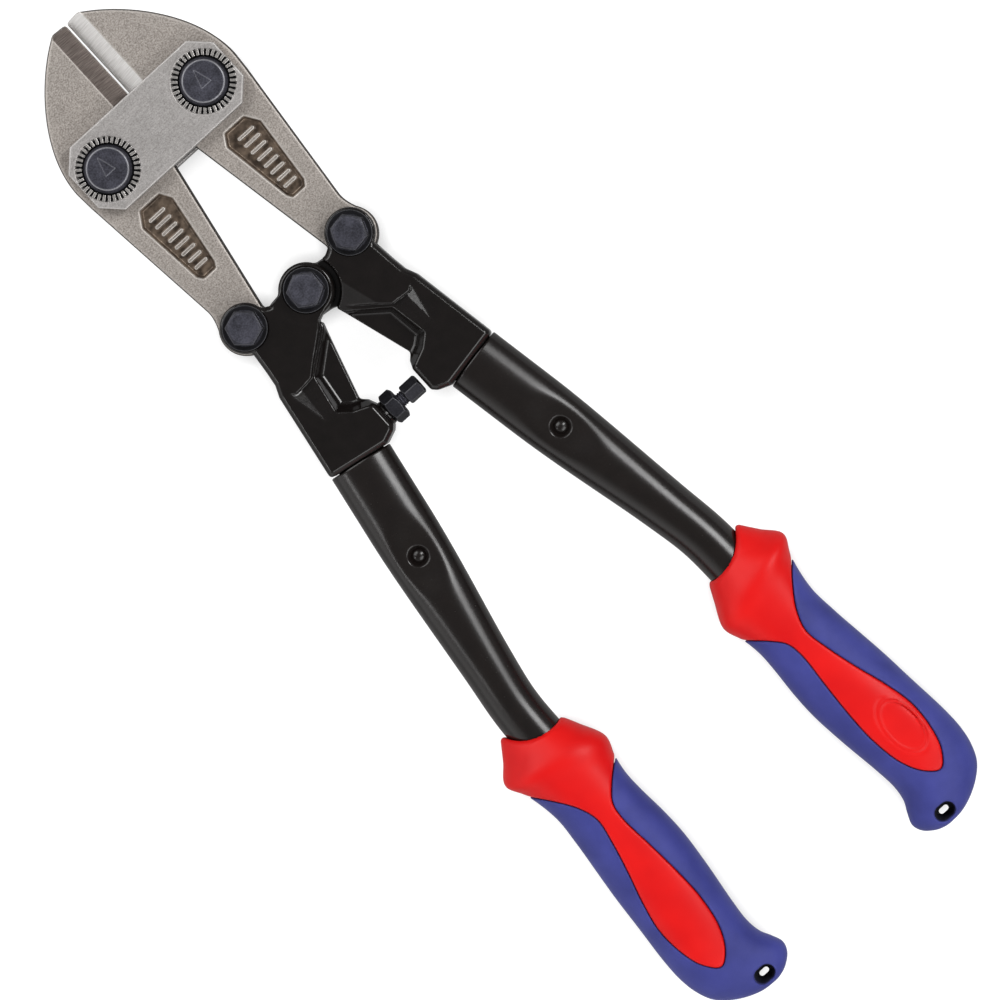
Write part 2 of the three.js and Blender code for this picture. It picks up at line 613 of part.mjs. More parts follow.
/** Where the hard red shot shows: the collar, the neck and the drop-shaped panel. */
function hardShotOutline() {
  return points(
    [24, 6], [24, -13.4], [15.4, -22.2], [9.9, -28.5], [5.7, -35], [3.9, -41],
    [5.2, -49], [7.8, -59], [10.8, -69], [12.6, -78], [12.1, -87], [10, -94],
    [6, -98.3], [1.9, -95.5], [-1.6, -89], [-3.4, -79], [-3.5, -69], [-2.8, -57],
    [-2, -45.5], [-2.9, -40.3], [-6.1, -36.3], [-12.2, -31], [-20, -25], [-20, 6],
  ).map((p) => p.add(bend));
}

/** The two shots of the grip: a hard core with sleeve and panels, and a rubber overmould. */
function grip() {
  const body = loft(GRIP_STATIONS.map(gripRing));
  const wide = 2 * gripHalfHeight;
  const hard = hardShotOutline();
  const from = bendPlace + SLEEVE_START;
  const to = bendPlace + SLEEVE_END;
  const sleeveInset = -RUNNING_GAP - SLEEVE_WALL;
  const sleeve = handleStretch(from, to, sleeveInset, SLEEVE_STEP);
  const sleeveRoom = handleStretch(from, to + RUNNING_GAP, sleeveInset - RUNNING_GAP, SLEEVE_STEP);
  const tubeRoom = handleStretch(TUBE_STRAIGHT, tubeLength + RUNNING_GAP, -RUNNING_GAP, ROOM_STEP);
  const core = body
    .intersect(prism(hard, -wide, wide))
    .add(sleeve)
    .subtract(tubeRoom)
    .subtract(badge());
  const overmould = body
    .subtract(prism(grown(hard, RUNNING_GAP), -wide, wide))
    .subtract(sleeveRoom)
    .subtract(prism(lanyardOutline(), -wide, wide));
  return { core, overmould };
}

/** Long hole through the hooked end of the grip. */
function lanyardOutline() {
  const radius = LANYARD.width / 2;
  const offset = (LANYARD.length - LANYARD.width) / 2;
  const x = bend.x + LANYARD.x;
  const y = bend.y + LANYARD.y;
  const shape = new THREE.Shape();
  shape.absarc(x + offset, y, radius, -Math.PI / 2, Math.PI / 2);
  shape.absarc(x - offset, y, radius, Math.PI / 2, 1.5 * Math.PI);
  return shape;
}

/** Shallow oval recess in the panel's upper face. */
function badge() {
  const { x, y, halfWidth, halfLength } = BADGE;
  const shape = new THREE.Shape();
  shape.absellipse(bend.x + x, bend.y + y, halfWidth, halfLength, 0, 2 * Math.PI);
  return prism(shape, gripHalfHeight - BADGE.depth, gripHalfHeight + OVER, 8);
}

// ---------------------------------------------------------------- assembly

const tool = new THREE.Group();
const rightHalf = new THREE.Group();
const leftHalf = new THREE.Group();
leftHalf.rotation.y = Math.PI;
tool.add(rightHalf, leftHalf);

tool.add(
  piece('top_strap_plate', strapPlate(deck, strapTop, true), blastedSteel),
  piece('bottom_strap_plate', strapPlate(-strapTop, -deck, false), blastedSteel),
);

const gripShots = grip();
for (const [side, half, sign] of [['right', rightHalf, 1], ['left', leftHalf, -1]]) {
  const jawCentre = new THREE.Vector2(sign * jawPivot.x, jawPivot.y);
  const tailCentre = new THREE.Vector2(sign * tailPivot.x, tailPivot.y);
  tool.add(
    piece(`${side}_jaw_bolt`, jawBolt(jawCentre), oiledSteel),
    piece(`${side}_jaw_nut`, jawNut(jawCentre), oiledSteel),
    piece(`${side}_pivot_bolt`, pivotBolt(tailCentre), oiledSteel),
    piece(`${side}_pivot_nut`, pivotNut(tailCentre), oiledSteel),
  );
  half.add(
    piece(`${side}_jaw`, jaw(), blastedSteel),
    piece(`${side}_yoke`, yoke(side === 'left'), blackEnamel),
    piece(`${side}_handle_tube`, handleTube(), blackEnamel),
    piece(`${side}_tube_rivet`, tubeRivet(), oiledSteel),
    piece(`${side}_grip_core`, gripShots.core, redNylon),
    piece(`${side}_grip_overmould`, gripShots.overmould, blueRubber),
  );
}

tool.add(
  piece('centre_bolt', pivotBolt(centrePivot), oiledSteel),
  piece('centre_nut', pivotNut(centrePivot), oiledSteel),
  piece('stop_screw', stopScrew(), oiledSteel),
  piece('stop_lock_nut', stopLockNut(), oiledSteel),
);

// The origin goes to the bottom centre of the tool's box.
const box = new THREE.Box3().setFromObject(tool, true);
const middle = box.getCenter(new THREE.Vector3());
tool.position.set(-middle.x, -middle.y, -box.min.z);

export default tool;
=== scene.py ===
"""Bolt cutters of the 350 mm class, lying flat with the blades together.

The sections follow the tool as it is put together: jaws, strap, jaw bolts, yokes, pivots,
stop screw, handle tubes, grips, and last the table, the lamps and the camera.
Shapes are drawn in millimetres: the origin is midway between the jaw bolts on the tool's
middle plane, +Y runs to the blade tips and +X to the right-hand handle. The left half is
the right half turned over about the Y axis.
"""

import math

import bpy
import numpy as np
import openvdb
from mathutils import Matrix, Vector


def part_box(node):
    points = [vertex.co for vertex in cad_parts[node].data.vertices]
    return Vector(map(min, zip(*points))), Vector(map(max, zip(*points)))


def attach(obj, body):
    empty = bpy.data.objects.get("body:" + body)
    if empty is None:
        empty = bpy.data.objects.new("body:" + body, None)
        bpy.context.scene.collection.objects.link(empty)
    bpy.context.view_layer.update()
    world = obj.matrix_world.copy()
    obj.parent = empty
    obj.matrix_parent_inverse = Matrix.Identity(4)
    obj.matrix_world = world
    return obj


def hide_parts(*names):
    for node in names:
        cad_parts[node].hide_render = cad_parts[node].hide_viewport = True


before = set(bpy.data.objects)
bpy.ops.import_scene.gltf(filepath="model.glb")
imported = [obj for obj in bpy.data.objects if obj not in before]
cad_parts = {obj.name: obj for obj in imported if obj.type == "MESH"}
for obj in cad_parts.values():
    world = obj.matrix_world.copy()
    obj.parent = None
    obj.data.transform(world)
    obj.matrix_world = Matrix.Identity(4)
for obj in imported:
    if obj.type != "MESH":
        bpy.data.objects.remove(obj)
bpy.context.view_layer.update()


# ------------------------ jaws
# Two drop-forged jaws of chrome-molybdenum steel, 8 mm thick, blasted all over and then
# ground along the cutting edges. Each arm has a forged pocket in both faces, with plain
# raised bars on its floor. The jaw turns on its jaw bolt and ends in a round tail boss.

JAW_HALF = 4.0
BLADE_LENGTH = 41.3
EDGE_X = 0.25
BEVEL_WIDTH = 5.8
BEVEL_END_Y = 6.0
JAW_BOLT = (19.4, 0.0)
JAW_BOLT_BORE = 5.3
TAIL_PIVOT = (21.2, -62.7)
TAIL_BOSS = 8.3
TAIL_BORE = 3.8
POCKET_DEPTH = 1.5
POCKET_DRAFT = 30
POCKET_BARS, BAR_SPACING, BAR_SINK = 8, 2.8, 0.4
POCKET_BAR_START = (18.1, -19.6)
POCKET_BAR_LEAN = 0.1
POCKET_BAR_HALF, POCKET_BAR_SHRINK, POCKET_BAR_RADIUS = 2.6, 0.1, 0.6
EDGE_ROUNDING = 0.9
EDGE_FLAT_HALF = 0.2
FLANK_SHADE_DEPTH = 0.12
POCKET = [(10.9, -18.9), (13.2, -15.1), (21.2, -15.1), (24.2, -19.7),
          (22.0, -41.5), (20.6, -43.4), (15.5, -43.4), (14.4, -41.4)]

plates = [*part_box("top_strap_plate"), *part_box("bottom_strap_plate")]
DRAWING_ORIGIN = np.array(sum(plates, Vector())) / len(plates)


def bezier(*controls, count=14):
    """Points on the Bezier curve with these control points."""
    t = np.linspace(0, 1, count)[:, None]
    layer = [np.array(c, float)[None, :] for c in controls]
    while len(layer) > 1:
        layer = [(1 - t) * a + t * b for a, b in zip(layer, layer[1:])]
    return layer[0]


def rounded(corners, radius, count=6):
    """A closed outline with its corners turned off to a radius."""
    corners = np.array(corners, float)
    made = []
    for before, at, after in zip(np.roll(corners, 1, 0), corners, np.roll(corners, -1, 0)):
        u, v = before - at, after - at
        lu, lv = np.hypot(*u), np.hypot(*v)
        half_angle = math.acos(np.clip(u @ v / (lu * lv), -1, 1)) / 2
        cut = min(radius / math.tan(max(half_angle, 0.01)), 0.45 * lu, 0.45 * lv)
        made.append(bezier(at + u * cut / lu, at, at + v * cut / lv, count=count))
    return np.vstack(made)


def outside(outline, x, y):
    """Distance from a closed outline, negative inside it."""
    x, y = np.broadcast_arrays(x, y)
    nearest = np.full(x.shape, 1e9)
    within = np.zeros(x.shape, bool)
    for (ax, ay), (bx, by) in zip(outline, np.roll(outline, -1, 0)):
        ex, ey = bx - ax, by - ay
        if ex * ex + ey * ey < 1e-12:
            continue
        t = np.clip(((x - ax) * ex + (y - ay) * ey) / (ex * ex + ey * ey), 0, 1)
        nearest = np.minimum(nearest, (x - ax - t * ex) ** 2 + (y - ay - t * ey) ** 2)
        if ey:
            within ^= ((ay > y) != (by > y)) & (x < ax + (y - ay) / ey * ex)
    return np.where(within, -1, 1) * np.sqrt(nearest)


def away(x, y, centre):
    """Distance from a point in the plane."""
    return np.hypot(x - centre[0], y - centre[1])


def span(value, low, high):
    """Distance past the ends of a span, negative within it."""
    return abs(value - (low + high) / 2) - (high - low) / 2


def common(a, b, radius=0.0):
    """What two bodies share, its edge turned off to a radius."""
    corner = np.hypot(np.maximum(a + radius, 0), np.maximum(b + radius, 0))
    return corner + np.minimum(np.maximum(a, b) + radius, 0) - radius


def joined(a, b, radius=0.0):
    """Two bodies as one, with a fillet of that radius between them."""
    return -common(-a, -b, radius)


def sunk(distance, z, top, depth, draft, fillet=0.4):
    """A pocket in both faces: walls leaning out by draft degrees, filleted to the floor."""
    lean = math.radians(draft)
    wall = (distance + (top - abs(z)) * math.tan(lean)) * math.cos(lean)
    return common(wall, top - depth - abs(z), fillet)


def skin(shape, low, high, step):
    """The surface of a body: (points, faces). shape(x, y, z) is its distance in mm."""
    low, high = np.array(low, float), np.array(high, float)
    sides = [low[k] + step * np.arange(int((high[k] - low[k]) / step) + 2) for k in range(3)]
    values = shape(*np.meshgrid(*sides, indexing="ij", sparse=True))
    values = np.broadcast_to(values, [len(side) for side in sides])
    grid = openvdb.FloatGrid(2 * step)
    grid.copyFromArray(np.clip(values, -2 * step, 2 * step).astype(np.float32))
    points, faces = grid.convertToQuads(0)
    points = low + step * points.astype(float)
    tips = np.array([(1, 1, 1), (1, -1, -1), (-1, 1, -1), (-1, -1, 1)], float)
    reach = 0.02
    for _ in range(3):
        around = np.array([shape(*(points + reach * tip).T) for tip in tips])
        slope = (around.T @ tips) / (4 * reach)
        steep = np.maximum((slope ** 2).sum(1), 0.2)
        move = shape(*points.T) / steep
        points -= np.clip(move, -step, step)[:, None] * slope
    a, b, c = points[faces[:, 0]], points[faces[:, 1]], points[faces[:, 2]]
    d = points[faces[:, 3]]
    volume = (a * np.cross(b, c)).sum() + (a * np.cross(c, d)).sum()
    return points, faces if volume > 0 else faces[:, ::-1]


def sharpness(points, faces):
    """How strongly the surface turns at each point, from 0 to 1 on outer edges."""
    pairs = np.vstack([faces[:, [0, 1]], faces[:, [1, 2]], faces[:, [2, 3]], faces[:, [3, 0]]])
    total, number = np.zeros_like(points), np.zeros(len(points))
    np.add.at(total, pairs[:, 0], points[pairs[:, 1]] - points[pairs[:, 0]])
    np.add.at(number, pairs[:, 0], 1)
    normals = np.zeros_like(points)
    across = np.cross(points[faces[:, 2]] - points[faces[:, 0]],
                      points[faces[:, 3]] - points[faces[:, 1]])
    for k in range(4):
        np.add.at(normals, faces[:, k], across)
    normals /= np.maximum(np.linalg.norm(normals, axis=1), 1e-12)[:, None]
    step = np.median(np.linalg.norm(points[pairs[:, 1]] - points[pairs[:, 0]], axis=1))
    bend = -((total / number[:, None]) * normals).sum(1) / step
    return np.clip(bend * 6, 0, 1)


def placed(name, data):
    """A new object in the scene."""
    thing = bpy.data.objects.new(name, data)
    bpy.context.scene.collection.objects.link(thing)
    return thing


def made_piece(name, surface, finish, marks=None, turned=False, shift=(0, 0, 0)):
    """A surface drawn in mm as an object in its place, with marks as point attributes."""
    points, faces = surface
    points = np.array(points) + np.array(shift)
    if turned:
        points = points * (-1, 1, -1)
    mesh = bpy.data.meshes.new(name)
    mesh.from_pydata(points / 1000 + DRAWING_ORIGIN, [], np.array(faces).tolist())
    mesh.polygons.foreach_set("use_smooth", [True] * len(mesh.polygons))
    for mark, values in (marks or {}).items():
        attribute = mesh.attributes.new(mark, "FLOAT", "POINT")
        attribute.data.foreach_set("value", np.asarray(values, np.float32))
    mesh.materials.append(finish)
    mesh.update()
    return placed(name, mesh)


def colour(code):
    """An sRGB hex colour as linear RGBA."""
    shares = [int(code[k:k + 2], 16) / 255 for k in (1, 3, 5)]
    return [s / 12.92 if s <= 0.04045 else ((s + 0.055) / 1.055) ** 2.4 for s in shares] + [1]


def per(millimetres):
    """Repeats in a metre for something that size."""
    return 1000 / millimetres


def feed(tree, socket, value):
    """Give an input a value, or link it to another node's output."""
    if isinstance(value, bpy.types.NodeSocket):
        tree.links.new(value, socket)
    else:
        socket.default_value = value


def add(tree, kind, settings=None, **sockets):
    """A new node with its settings and its inputs, which are values or other nodes' outputs."""
    node = tree.nodes.new(kind)
    for key, value in (settings or {}).items():
        setattr(node, key, value)
    for key, value in sockets.items():
        key = key.replace("_", " ")
        feed(tree, next(s for s in node.inputs if s.enabled and s.name == key), value)
    return node


def new_material(name):
    """An empty material: (material, tree, its Principled shader, object coordinates)."""
    material = bpy.data.materials.new(name)
    material.use_nodes = True
    tree = material.node_tree
    shader = tree.nodes["Principled BSDF"]
    place = add(tree, "ShaderNodeTexCoord").outputs["Object"]
    return material, tree, shader, place


def looks(tree, shader, **inputs):
    """Set the shader's inputs: patterns are linked, plain numbers go on its own sockets."""
    for key, value in inputs.items():
        feed(tree, shader.inputs[key.replace("_", " ")], value)


def mark(tree, name):
    """A mark made on the mesh, from 0 to 1."""
    return add(tree, "ShaderNodeAttribute", {"attribute_name": name}).outputs["Fac"]


def noise(tree, place, size, detail=2.0):
    """A soft pattern, from 0 to 1, with features of that size in mm."""
    return add(tree, "ShaderNodeTexNoise", Vector=place, Scale=per(size), Detail=detail).outputs["Fac"]


def lines(tree, place, length, pitch):
    """Fine lines across the tool, so long and so far apart in mm."""
    scale = (per(length), per(pitch), per(length))
    stretched = add(tree, "ShaderNodeMapping", Vector=place, Scale=scale).outputs["Vector"]
    return add(tree, "ShaderNodeTexNoise", Vector=stretched, Scale=1.0, Detail=2.0).outputs["Fac"]


def ramp(tree, share, low, high, start=0.0, end=1.0):
    """A colour that goes from low to high as a share goes from start to end."""
    node = add(tree, "ShaderNodeValToRGB", Fac=share)
    for k, position, code in ((0, start, low), (1, end, high)):
        node.color_ramp.elements[k].position = position
        node.color_ramp.elements[k].color = colour(code)
    return node.outputs["Color"]


def blend(tree, share, a, b, kind="RGBA", mode="MIX"):
    """From a to b by a share."""
    settings = {"data_type": kind, "blend_type": mode}
    return add(tree, "ShaderNodeMix", settings, Factor=share, A=a, B=b).outputs["Result"]


def between(tree, share, low, high):
    """A number that goes from low to high with a share."""
    return add(tree, "ShaderNodeMapRange", Value=share, To_Min=low, To_Max=high).outputs["Result"]


def sum_of(tree, operation, *values):
    """The result of a sum on numbers, such as MULTIPLY."""
    node = add(tree, "ShaderNodeMath", {"operation": operation})
    for socket, value in zip(node.inputs, values):
        feed(tree, socket, value)
    return node.outputs[0]


def relief(tree, height, strength, depth, under=None):
    """The normals of a fine relief, its depth in mm, over another relief or none."""
    node = add(tree, "ShaderNodeBump", Height=height, Strength=strength, Distance=depth / 1000)
    if under:
        tree.links.new(under, node.inputs["Normal"])
    return node.outputs["Normal"]


# Blasted forged steel: warm grey with the fine sparkle of the grit, clouded in patches.
# Its edges are painted paler, partly worn by use and partly painted highlight, and its
# flanks are painted dark as shade. Forged pockets are brown and shine in patches. The right
# blade's bevel is ground bright and fine; the left blade's is coarser and painted darker as
# shade, with grinding lines straight across both.
blasted_steel, tree, shader, place = new_material("blasted_forged_steel")
grit = noise(tree, place, 0.45, 3.0)
clouds = noise(tree, place, 9, 4.0)
clouded = blend(tree, 0.22, ramp(tree, grit, "#8b837c", "#c9c1ba", 0.3, 0.7), clouds, mode="MULTIPLY")
forged = mark(tree, "pocket")
scale_skin = ramp(tree, noise(tree, place, 2.6, 3.0), "#43382f", "#7d6d5e", 0.35, 0.65)
pocketed = blend(tree, forged, clouded, scale_skin)
ground = mark(tree, "bevel")
coarse_shaded_bevel = mark(tree, "coarse_shaded_bevel")
grinding = lines(tree, place, 5, 0.22)
bright = ramp(tree, grinding, "#c8c5c2", "#e2e0de", 0.3, 0.7)
# painted shade: the left blade's bevel gets this darker grey, a shaded copy of the bright one
dull_painted_shade = ramp(tree, grinding, "#544c48", "#7a716c", 0.3, 0.7)
bevelled = blend(tree, ground, pocketed, blend(tree, coarse_shaded_bevel, bright, dull_painted_shade))
# painted shade: the jaws' flanks are darkened so that their outlines show dark
flank_shaded = blend(tree, mark(tree, "painted_flank_shade"), bevelled, colour("#3b3531"))
# the edges are painted paler: partly wear, partly painted highlight
rubbed_and_highlit = blend(tree, mark(tree, "edge"), flank_shaded, colour("#d6d1cb"))
pressed = blend(tree, forged, between(tree, grit, 0.38, 0.58), 0.3, kind="FLOAT")
rough = blend(tree, ground, pressed, between(tree, coarse_shaded_bevel, 0.32, 0.5), kind="FLOAT")
pits = relief(tree, grit, 0.55, 0.06)
scores = relief(tree, sum_of(tree, "MULTIPLY", grinding, ground), 0.3, 0.04, under=pits)
looks(tree, shader, Base_Color=rubbed_and_highlit, Roughness=rough, Normal=scores,
      Metallic=between(tree, ground, 0.45, 1.0))


def arc(centre, radius, start, end, count=40):
    """Points on an arc, its ends in degrees."""
    turn = np.radians(np.linspace(start, end, count))
    return np.stack([centre[0] + radius * np.cos(turn), centre[1] + radius * np.sin(turn)], 1)


boss_start = arc(TAIL_PIVOT, TAIL_BOSS, 36, 36, 1)[0]
jaw_outline = np.vstack([
    bezier((EDGE_X + 4.0, BLADE_LENGTH), (EDGE_X + 5.2, BLADE_LENGTH), (EDGE_X + 6.2, 40.4),
           count=6),
    bezier((EDGE_X + 6.2, 40.4), (18.0, 33.0), (31.8, 16.9), (31.8, 1.0), count=40),
    bezier((31.4, -5.0), (26.5, -51.2), count=2),
    bezier((26.5, -51.2), (26.2, -54.0), boss_start, count=8)[1:],
    arc(TAIL_PIVOT, TAIL_BOSS, 36, -194),
    [(4.2, -12.5), (EDGE_X, 12.5)],
    bezier((EDGE_X, BLADE_LENGTH - 1.1), (EDGE_X, BLADE_LENGTH), (EDGE_X + 1.2, BLADE_LENGTH),
           count=6),
])
pocket_outline = rounded(POCKET, 1.0)
bevel_slope = (JAW_HALF - EDGE_FLAT_HALF) / BEVEL_WIDTH


def pocket_bars(x, y):
    """Distance from the row of plain raised bars on the pocket's floor."""
    start_x, start_y = POCKET_BAR_START
    nearest = np.full(np.broadcast(x, y).shape, 9.0)
    for k in range(POCKET_BARS):
        v = y - start_y + BAR_SPACING * k
        u = abs(x - start_x + POCKET_BAR_LEAN * v) - POCKET_BAR_HALF + POCKET_BAR_SHRINK * k
        nearest = np.minimum(nearest, np.hypot(np.maximum(u, 0), v) - POCKET_BAR_RADIUS)
    return nearest


def jaw_shape(x, y, z):
    body = common(outside(jaw_outline, x, y), abs(z) - JAW_HALF, EDGE_ROUNDING)
    slope = (abs(z) - EDGE_FLAT_HALF - bevel_slope * (x - EDGE_X)) / math.hypot(1, bevel_slope)
    bevel = common(-slope, BEVEL_END_Y - y)
    pocket = sunk(outside(pocket_outline, x, y), z, JAW_HALF, POCKET_DEPTH, POCKET_DRAFT, 0.3)
    body = common(common(body, -bevel, 0.08), -pocket, 0.25)
    bars = common(pocket_bars(x, y), abs(z) - JAW_HALF + BAR_SINK, 0.2)
    body = joined(body, bars, 0.2)
    body = common(body, JAW_BOLT_BORE - away(x, y, JAW_BOLT))
    return common(body, TAIL_BORE - away(x, y, TAIL_PIVOT))


jaw_skin = skin(jaw_shape, (-1, -73, -5), (34, 43, 5), 0.3)
x, y, z = jaw_skin[0].T
in_pocket = outside(pocket_outline, x, y) < 0.2
on_bevel = (y > BEVEL_END_Y) * np.clip((EDGE_X + BEVEL_WIDTH - x) / 0.3, 0, 1)
# the flanks below the faces, marked for the dark grey that paints shade on them
painted_flank_share = np.clip((JAW_HALF - FLANK_SHADE_DEPTH - abs(z)) / FLANK_SHADE_DEPTH, 0, 1) * ~in_pocket * (1 - on_bevel)
below_bars = np.clip((JAW_HALF - BAR_SINK + 0.05 - abs(z)) / 0.4, 0.3, 1)
# edges, and the edges of the pocket bars, are marked by how sharply the surface turns: partly wear,
# partly painted highlight
jaw_marks = {
    "edge": np.where(in_pocket, 0.8, 0.6 * (1 - painted_flank_share)) * sharpness(*jaw_skin),
    "pocket": np.where(in_pocket, below_bars, 0),
    "painted_flank_shade": painted_flank_share,
    "bevel": on_bevel,
}
# the left jaw's bevel is marked for the coarser finish and for the darker grey painted on it as shade
for side, coarse_shade_share in (("right", 0.0), ("left", 1.0)):
    jaw_marks["coarse_shaded_bevel"] = np.full(len(x), coarse_shade_share)
    piece = made_piece(f"{side}_forged_jaw", jaw_skin, blasted_steel, jaw_marks,
                       turned=side == "left")
    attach(piece, f"jaw_{side}")
    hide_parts(f"{side}_jaw")


# ------------------------ strap
# Two octagonal plates of 4 mm steel hold the jaw bolts apart, one above the jaws and one
# below. They are blanked, ground flat and lightly chamfered. The upper plate is sunk round
# each bolt, with a ring of bars cut in the sinking that locks the bolt's adjustment.

PLATE_INNER, PLATE_OUTER = 4.25, 8.25
PLATE_HALF = (29.4, 12.5)
PLATE_CORNER = 5.8
SEAT_RADIUS, SEAT_DEPTH = 9.8, 1.5
BAR_COUNT = 36
BAR_INNER, BAR_WIDTH, BAR_HEIGHT = 7.85, 0.85, 1.4

px, py = PLATE_HALF
cut_x, cut_y = px - PLATE_CORNER, py - PLATE_CORNER
plate_outline = np.array([(cut_x, -py), (px, -cut_y), (px, cut_y), (cut_x, py),
                          (-cut_x, py), (-px, cut_y), (-px, -cut_y), (-cut_x, -py)])

# Ground mild steel: a cooler and finer grey than the jaws, with faint cloudy bloom and
# lines left by the grinder along the plate, and edges painted bright, partly worn and partly
# painted highlight.
ground_steel, tree, shader, place = new_material("ground_plate_steel")
clouds = noise(tree, place, 7, 4.0)
tone = blend(tree, 0.3, noise(tree, place, 0.4), lines(tree, place, 5, 0.3), kind="FLOAT")
grey = ramp(tree, tone, "#928e8b", "#c6c2c0", 0.3, 0.7)
clouded = blend(tree, 0.18, grey, clouds, mode="MULTIPLY")
looks(tree, shader, Base_Color=blend(tree, mark(tree, "edge"), clouded, colour("#dedbd8")),
      Roughness=between(tree, clouds, 0.4, 0.55), Normal=relief(tree, tone, 0.45, 0.05), Metallic=0.45)


def upper_plate(x, y, z):
    body = common(outside(plate_outline, x, y), span(z, PLATE_INNER, PLATE_OUTER), 0.3)
    from_bolt = away(abs(x), y, JAW_BOLT)
    body = common(body, JAW_BOLT_BORE - from_bolt)
    seat = common(from_bolt - SEAT_RADIUS, PLATE_OUTER - SEAT_DEPTH - z)
    return common(body, -seat, 0.15)


def lower_plate(x, y, z):
    body = common(outside(plate_outline, x, y), span(z, -PLATE_OUTER, -PLATE_INNER), 0.3)
    return common(body, JAW_BOLT_BORE - away(abs(x), y, JAW_BOLT), 0.2)


for level, shape, low, high in (("top", upper_plate, 3.5, 9), ("bottom", lower_plate, -9, -3.5)):
    plate_skin = skin(shape, (-30.5, -13.5, low), (30.5, 13.5, high), 0.3)
    x, y, z = plate_skin[0].T
    # the plate's edges away from the seats are marked to be painted bright: partly wear, partly painted
    # highlight
    rim = 0.5 * sharpness(*plate_skin) * (away(abs(x), y, JAW_BOLT) > SEAT_RADIUS + 0.5)
    piece = made_piece(f"{level}_plate", plate_skin, ground_steel, {"edge": rim})
    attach(piece, "strap")
    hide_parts(f"{level}_strap_plate")


def new_tree(name, **inputs):
    """An empty Geometry Nodes tree with named size inputs: (tree, its inputs, its output)."""
    tree = bpy.data.node_groups.new(name, "GeometryNodeTree")
    for key, kind in inputs.items():
        tree.interface.new_socket(key.replace("_", " "), in_out="INPUT", socket_type=kind)
    tree.interface.new_socket("Geometry", in_out="OUTPUT", socket_type="NodeSocketGeometry")
    return tree, tree.nodes.new("NodeGroupInput").outputs, tree.nodes.new("NodeGroupOutput").inputs


def from_tree(name, tree, shift, turn=Matrix.Identity(4), **values):
    """The plain mesh that a tree makes, turned and moved to its place on the tool."""
    piece = placed(name, bpy.data.meshes.new(name))
    modifier = piece.modifiers.new("made", "NODES")
    modifier.node_group = tree
    for item in tree.interface.items_tree:
        key = item.name.replace(" ", "_")
        if item.in_out == "INPUT" and key in values:
            modifier[item.identifier] = values[key]
    graph = bpy.context.evaluated_depsgraph_get()
    mesh = bpy.data.meshes.new_from_object(piece.evaluated_get(graph))
    piece.modifiers.clear()
    piece.data = mesh
    mesh.transform(Matrix.Translation(Vector(DRAWING_ORIGIN) + Vector(shift) / 1000) @ turn)
    return piece


# A ring of short bars lying along the radius, as the cutter leaves them.
bar_ring, given, result = new_tree(
    "ring_of_bars", Bars="NodeSocketInt", Inner_radius="NodeSocketFloat", Length="NodeSocketFloat",
    Width="NodeSocketFloat", Height="NodeSocketFloat", Finish="NodeSocketMaterial")
middle = sum_of(bar_ring, "MULTIPLY_ADD", given["Length"], 0.5, given["Inner radius"])
circle = add(bar_ring, "GeometryNodeMeshCircle", Vertices=given["Bars"], Radius=middle)
size = add(bar_ring, "ShaderNodeCombineXYZ", X=given["Length"], Y=given["Width"], Z=given["Height"])
bar = add(bar_ring, "GeometryNodeMeshCube", Size=size.outputs[0])
outward = add(bar_ring, "FunctionNodeAlignRotationToVector", {"axis": "X"},
              Vector=add(bar_ring, "GeometryNodeInputPosition").outputs[0])
bars = add(bar_ring, "GeometryNodeInstanceOnPoints", Points=circle.outputs[0], Instance=bar.outputs[0],
           Rotation=outward.outputs[0])
real = add(bar_ring, "GeometryNodeRealizeInstances", Geometry=bars.outputs[0])
finished = add(bar_ring, "GeometryNodeSetMaterial", Geometry=real.outputs[0], Material=given["Finish"])
bar_ring.links.new(finished.outputs[0], result[0])

# Cut steel: the ground steel of the plate, fresh and brighter on the crests of the bars.
cut_steel, tree, shader, place = new_material("cut_bar_steel")
grit = noise(tree, place, 0.5)
looks(tree, shader, Base_Color=ramp(tree, grit, "#8d8985", "#d6d3d0"),
      Normal=relief(tree, grit, 0.4, 0.04), Roughness=0.38, Metallic=0.9)

for side, sign in (("right", 1), ("left", -1)):
    place_of_ring = (sign * JAW_BOLT[0], JAW_BOLT[1], PLATE_OUTER - BAR_HEIGHT / 2 - 0.02)
    piece = from_tree(f"{side}_seat_bars", bar_ring, place_of_ring, Bars=BAR_COUNT,
                      Inner_radius=BAR_INNER / 1000, Length=(SEAT_RADIUS + 0.05 - BAR_INNER) / 1000,
                      Width=BAR_WIDTH / 1000, Height=BAR_HEIGHT / 1000, Finish=cut_steel)
    edges = piece.modifiers.new("softened", "BEVEL")
    edges.width, edges.segments = 0.00012, 2
    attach(piece, "strap")


# ------------------------ jaw bolts
# Forged and blackened bolts that turn in the strap, with a low coned head, a plain raised
# wedge on top and a flange under the bars. The shank runs through the jaw to a hexagon
# nut below the lower plate.

FLANGE_RADIUS, FLANGE_MIDDLE, FLANGE_HALF = 9.55, 6.72, 0.23
HEAD_FOOT, HEAD_TOP, HEAD_START, HEAD_HEIGHT = 7.3, 6.35, 6.5, 9.95
HEAD_CONE = 1.7
WEDGE_POINT, WEDGE_SPREAD, WEDGE_MIDDLE, WEDGE_HALF, WEDGE_HEIGHT = 5.2, 0.3, 1.4, 2.9, 0.2
SHANK, SHANK_MIDDLE, SHANK_HALF = 5.0, -3.0, 10.0
JAW_NUT_FLATS, JAW_NUT_TOP, JAW_NUT_BOTTOM = 16.0, -8.35, -12.75

